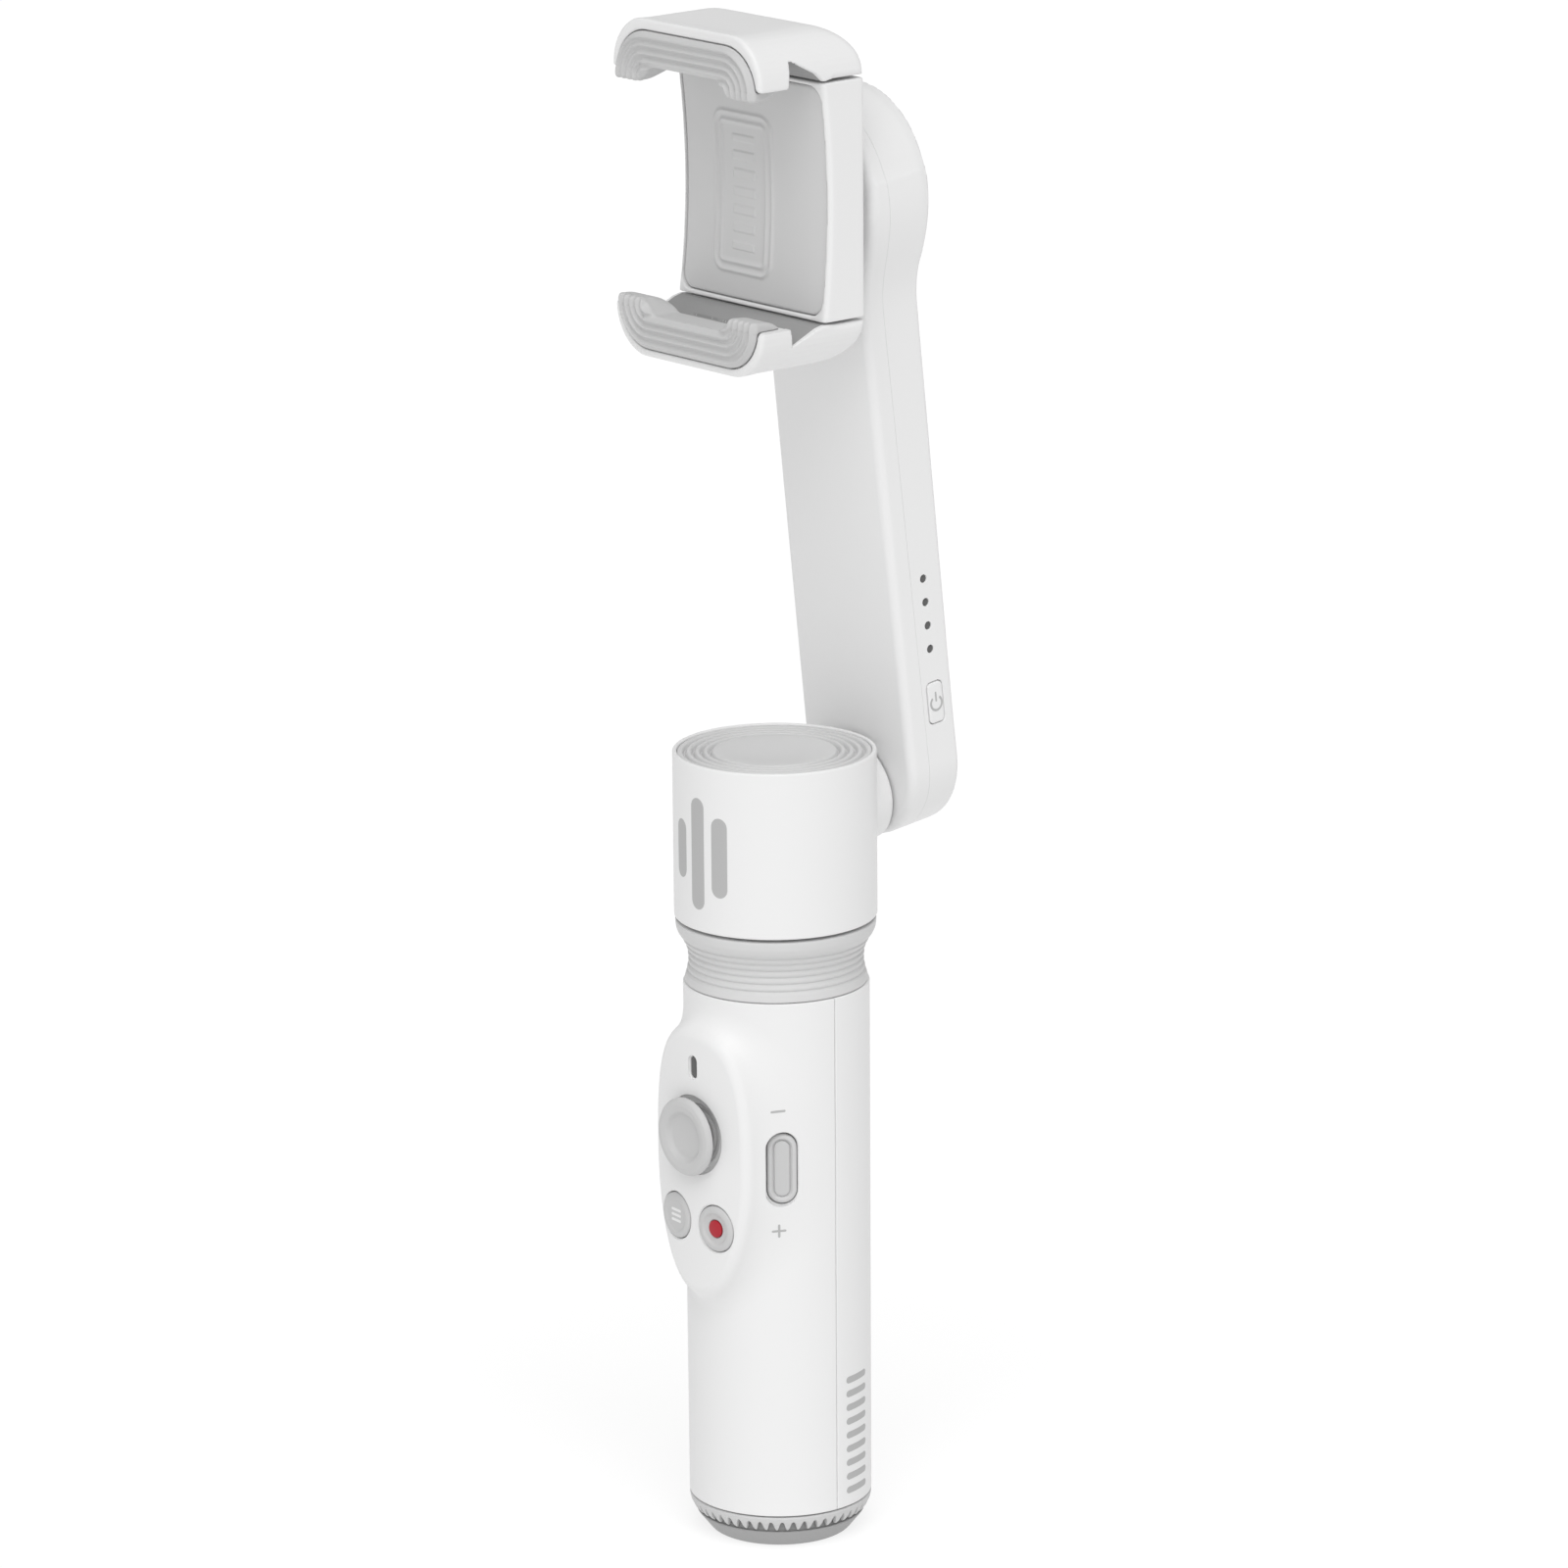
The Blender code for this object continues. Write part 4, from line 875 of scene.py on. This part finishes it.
def make_arm():
    whole = net_mesh(arm_solid, (-19.6, -0.6, -10.2), (19.6, 17.0, 134.0), 0.5, to_world())
    gap = 0.02
    around = [(-30, -20), (30, -20), (30, 150), (-30, 150)]
    keep_rear = prism(around, -20.0, ARM_SPLIT + gap, to_world())
    keep_front = prism(around, ARM_SPLIT - gap, 40.0, to_world())
    front = polished(combined(whole.copy(), [keep_front]), arm_world)
    rear = combined(whole, [keep_rear])
    piece("arm_front", front, "arm", "white_plastic", "arm_front_shell")
    key_slot = side_cutter(1.95, 4.05, 1.1, KEY_V, POWER_U, ARM_SIDE, 11.1, 0.2)
    port_slot = side_cutter(1.9, 4.9, 1.88, KEY_V, POWER_U, ARM_SIDE, 8.0, 0.25, -1.0)
    cutters = [key_slot, port_slot]
    for i in range(4):
        face = ARM_SIDE - 0.08 - ARM_TAPER * i
        cutters.append(side_cutter(0.76, 0.76, 0.75, KEY_V, LIGHT_U + i * LIGHT_PITCH, face, 12.0, 0.15))
    rear = polished(combined(rear, cutters), arm_world)
    piece("arm_rear", rear, "arm", "white_plastic", "arm_rear_shell")

    for i in range(4):
        side, tip = 14.6 - ARM_TAPER * i, 14.74 - ARM_TAPER * i
        bead = filleted([(0.0, 11.5), (0.7, 11.5), (0.7, side), (0.0, tip)], [0, 0, 0.15, 0], 4)
        place = to_world() @ Matrix.Translation((0.0, KEY_V, LIGHT_U + i * LIGHT_PITCH))
        place = place @ Matrix.Rotation(math.pi / 2, 4, "Y")
        replaced = ["battery_light_guide"] if i == 0 else []
        piece(f"battery_light_{i + 1}", turned(bead, 40, place), "arm", "dark_window", *replaced)

    rings = []
    for x, inset in ((11.7, 0.0), (14.75, 0.0), (14.9, 0.06), (15.0, 0.25), (15.02, 0.6)):
        flat = filleted(oblong(1.78 - inset, 3.88 - inset), max(0.95 - inset, 0.2), 8)
        rings.append([(x, KEY_V + p, POWER_U + q) for p, q in flat])
    piece("power_key_cap", lofted(rings, to_world()), "power_key", "white_plastic", "power_button")
    mark = to_world()
    gap = math.radians(38)
    angles, radii = spread((gap, math.tau - gap, 48)), (1.1, 1.24, 1.38, 1.52)
    around = [[(angle, radius) for radius in radii] for angle in angles]
    top, middle = 15.02, POWER_U - 0.15
    polar = lambda s, t, h: mark @ Vector((top + h, KEY_V + t * math.sin(s), middle + t * math.cos(s)))
    piece("power_mark_ring", strip(around, polar), "power_key", "mark_grey")
    line = lambda s, t, h: mark @ Vector((top + h, KEY_V + t, POWER_U + 1.1 + s))
    piece("power_mark_line", strip(bar(1.9, 0.36), line), "power_key", "mark_grey")


def make_handle_mark():
    """A ladder of plain bars near the foot of the rear shell."""
    def wrap(z0):
        def spot(s, t, h):
            turn = math.radians(17.0) + s / HANDLE_R[0]
            radius = tube_radius(z0 + t) + h
            return Vector((radius * math.cos(turn), radius * math.sin(turn), z0 + t))
        return spot

    for i in range(9):
        mesh = strip(bar(6.6, 1.3, 16, 6), wrap(10.2 + 2.7 * i))
        piece(f"handle_mark_{i + 1}", mesh, "handle", "mark_grey")


# ---------------------------------------------------------------------------- clamp


def plate_front(z):
    return PLATE_Y[0] + 1.6 * (1 - (z / PLATE_Z) ** 2)


def make_plate():
    def housing(x, y, z):
        z = z - CLAMP_Z
        box = meet(np.abs(x) - CLAMP_X, np.maximum(plate_front(z) - y, y - PLATE_Y[1]), 1.1)
        body = meet(box, np.abs(z) - PLATE_Z + 0.12, 0.3)
        bed = np.maximum(rounded_rect(x + 0.4, z, 19.6, 20.8, 3.0), y)
        return cut(body, bed, 0.3)

    mesh = net_mesh(housing, (-20.8, -5.4, CLAMP_Z - 22.2), (20.8, 5.6, CLAMP_Z + 22.2), 0.36)
    piece("clamp_body", mesh, "clamp", "white_plastic", "clamp_housing")

    def pad(x, y, z):
        z = z - CLAMP_Z
        across, along = x + 3.2, z + 1.4
        frame_line = rounded_rect(across, along, 7.7, 14.4, 2.6)
        relief = 0.34 * np.exp(-((frame_line / 0.42) ** 2))
        relief = relief + 0.34 * np.exp(-(((frame_line + 1.6) / 0.42) ** 2))
        field = np.clip((3.1 - np.abs(across)) / 0.3, 0, 1) * np.clip((10.6 - np.abs(along)) / 0.3, 0, 1)
        bars = 0.2 * np.clip(1.6 * np.cos(along * math.tau / 3.3) + 0.3, 0, 1) * field
        front = plate_front(z) + 0.1 + 0.45 * (np.abs(x) / 19.0) ** 3 - relief - bars
        return meet(rounded_rect(x + 0.42, z, 19.45, 20.65, 2.85), np.maximum(front - y, y + 1.0), 0.6)

    mesh = net_mesh(pad, (-20.2, -5.4, CLAMP_Z - 21.4), (19.4, -0.6, CLAMP_Z + 21.4), 0.3)
    piece("plate_pad", mesh, "clamp", "soft_grey", "clamp_back_pad")
    disc = filleted([(0.0, 4.9), (15.0, 4.9), (15.0, 7.5), (0.0, 7.5)], [0, 0.2, 0.4, 0], 4)
    piece("axle_plate", turned(disc, 128, turn_y(ROLL_Z)), "clamp", "white_plastic", "roll_axle_plate")


def jaw_side(notch, top):
    """The jaw's profile across its hook, as (y, z) from the clamp's middle."""
    back, radius, low = 5.0, 8.0, 23.2
    side = [(back, 21.95), (back, low)]
    side += [(back + radius * (math.cos(a) - 1), low + (top - low) * math.sin(a))
             for a in spread((0.15, math.pi / 2, 10))]
    side += [(-19.4, top), (-19.4, 19.95), (-13.0, 19.95), *notch, (-4.6, 21.95)]
    return side


def arch(half, foot, low, roof, top, radius, shoulder):
    """The jaw seen from the front: two feet, an arch between them and rounded outer corners."""
    points = [(-half, low), (-foot, low), (-shoulder, roof), (shoulder, roof), (foot, low), (half, low)]
    for center, start in ((half - radius, 0.0), (radius - half, math.pi / 2)):
        points += [(center + radius * math.cos(a), top - radius + radius * math.sin(a))
                   for a in spread((start, start + math.pi / 2, 12))]
    return filleted(points, [1.5, 1.2, 1.6, 1.6, 1.2, 1.5] + [0] * 26, 4)


def make_jaws():
    pad_half, corner_points = 19.05, 26
    pad_points = arch(pad_half, 12.4, 19.7, 22.6, 28.9, 8.2, 9.2)
    pad_distance = outline(pad_points)
    rib_distance = outline([(-pad_half, -40.0), (pad_half, -40.0)] + pad_points[-corner_points:])

    def shell_of(notch, top):
        front_distance = outline(arch(CLAMP_X, 12.6, 21.45, 24.0, top, 9.0, 10.9))
        plain_distance = outline(arch(CLAMP_X, 12.6, 21.45, 21.7, top, 9.0, 10.9))
        side_distance = outline(jaw_side(notch, top))

        def shell_solid(x, y, z):
            trough = np.interp(y, (-15.0, -13.8, -4.0, -2.0), (0, 1, 1, 0))
            trough = trough * np.interp(z, (27.5, 29.0), (1, 0))
            soft = 1.5 - 1.2 * trough - 0.6 * np.interp(y, (-18.5, -16.0), (1, 0))
            front = np.where(y < -9.0, front_distance(x, z), plain_distance(x, z))
            body = meet(front, side_distance(y, z), soft)
            bed = np.maximum(pad_distance(x, z) - 0.17, y + 18.6)
            return cut(body, bed, 0.25)

        return net(shell_solid, (-20.8, -19.9, 20.6), (20.8, 5.5, 31.8), 0.34)

    def pad_solid(x, y, z):
        ridge = 0.5 + 0.5 * np.cos(math.tau * (-rib_distance(x, z) - 0.95) / 1.5)
        face = LIP_Y + 0.05 + 0.5 * (1 - ridge**1.5)
        flat = pad_distance(x, z)
        plate = meet(flat, np.maximum(face - y, y + 18.75), 0.9)
        roof = np.interp(np.abs(x), (10.9, 12.5), (23.9, 21.35))
        slope_back = (y + 13.3) * 0.5 - (z - 21.4) * 0.85
        sole = meet(meet(flat, np.maximum(face - y, y + 13.25), 1.2), slope_back, 1.2)
        return join(plate, np.maximum(sole, z - roof), 0.4)

    hooks = {
        "upper": shell_of([(-11.9, 26.3), (-6.3, 23.5)], JAW_TOP),
        "lower": shell_of([(-11.8, 24.8), (-6.2, 22.3)], JAW_TOP - LOWER_JAW_THINNER),
    }
    pad_data = net(pad_solid, (-19.5, -20.9, 19.2), (19.5, -12.8, 29.4), 0.26)
    for side, turn in (("upper", 0.0), ("lower", math.pi)):
        place = Matrix.Translation((0.0, 0.0, CLAMP_Z)) @ Matrix.Rotation(turn, 4, "Y")
        body = f"{side}_jaw"
        hook = piece(f"{side}_hook", mesh_of(*hooks[side], place), body, "white_plastic", f"{side}_jaw")
        # paints shade into the trough behind the lip
        paint_trough_shade(hook, 1.0 if side == "upper" else -1.0)
        piece(f"{side}_grip", mesh_of(*pad_data, place), body, "grey_rubber", f"{side}_jaw_pad")
        rack = [(12.4, -21.0), (12.4, 25.0), (6.0, 25.0), (6.0, 21.0)]
        rack += [(x, z) for x, z in reversed(rack_teeth()) if -20.6 < z < 20.6] + [(4.75, -21.0)]
        piece(f"{side}_rack", prism(rack, -0.1, 2.9, place), body, "steel")
        rail = filleted([(-17.8, -17.0), (-14.0, -17.0), (-14.0, 25.0), (-17.8, 25.0)], 0.6)
        piece(f"{side}_rail", prism(rail, -1.4, 2.9, place, 0.15), body, "steel")


def paint_trough_shade(hook, sign):
    """Paints the roof and walls of the trough behind the lip darker grey: painted shade in that recess."""
    hook.data.materials.append(paints["trough"])
    for face in hook.data.polygons:
        x, y, z = face.center / MM
        within = -13.4 < y < -4.4 and sign * (z - CLAMP_Z) < 26.8 and abs(x) < 19.4
        if within and (sign * face.normal.z < -0.3 or abs(face.normal.y) > 0.4):
            # painted shade on the trough's roof and its front and back walls
            face.material_index = 1


def rack_teeth():
    """The toothed edge of a rack, (x, z) from the pinion's middle."""
    radius, pitch, points = 4.0, math.tau * 4.0 / 10, []
    for i in range(-8, 7):
        z = i * pitch
        points += [(radius + 0.75, z - 0.24 * pitch), (radius - 0.45, z - 0.1 * pitch),
                   (radius - 0.45, z + 0.1 * pitch), (radius + 0.75, z + 0.24 * pitch)]
    return points


# ------------------------------------------------------------------------------ main


make_camera()
make_light()
make_floor()
paints = make_paints()
for part in frame["record"]["subparts"]:
    node = nodes[part["node"]]
    node.data.materials.clear()
    node.data.materials.append(paints[part["material_slot"]])
make_handle()
make_foot()
make_stick()
make_keys()
make_rocker()
make_window()
make_rods()
make_neck()
make_head()
make_arm()
make_handle_mark()
make_plate()
make_jaws()
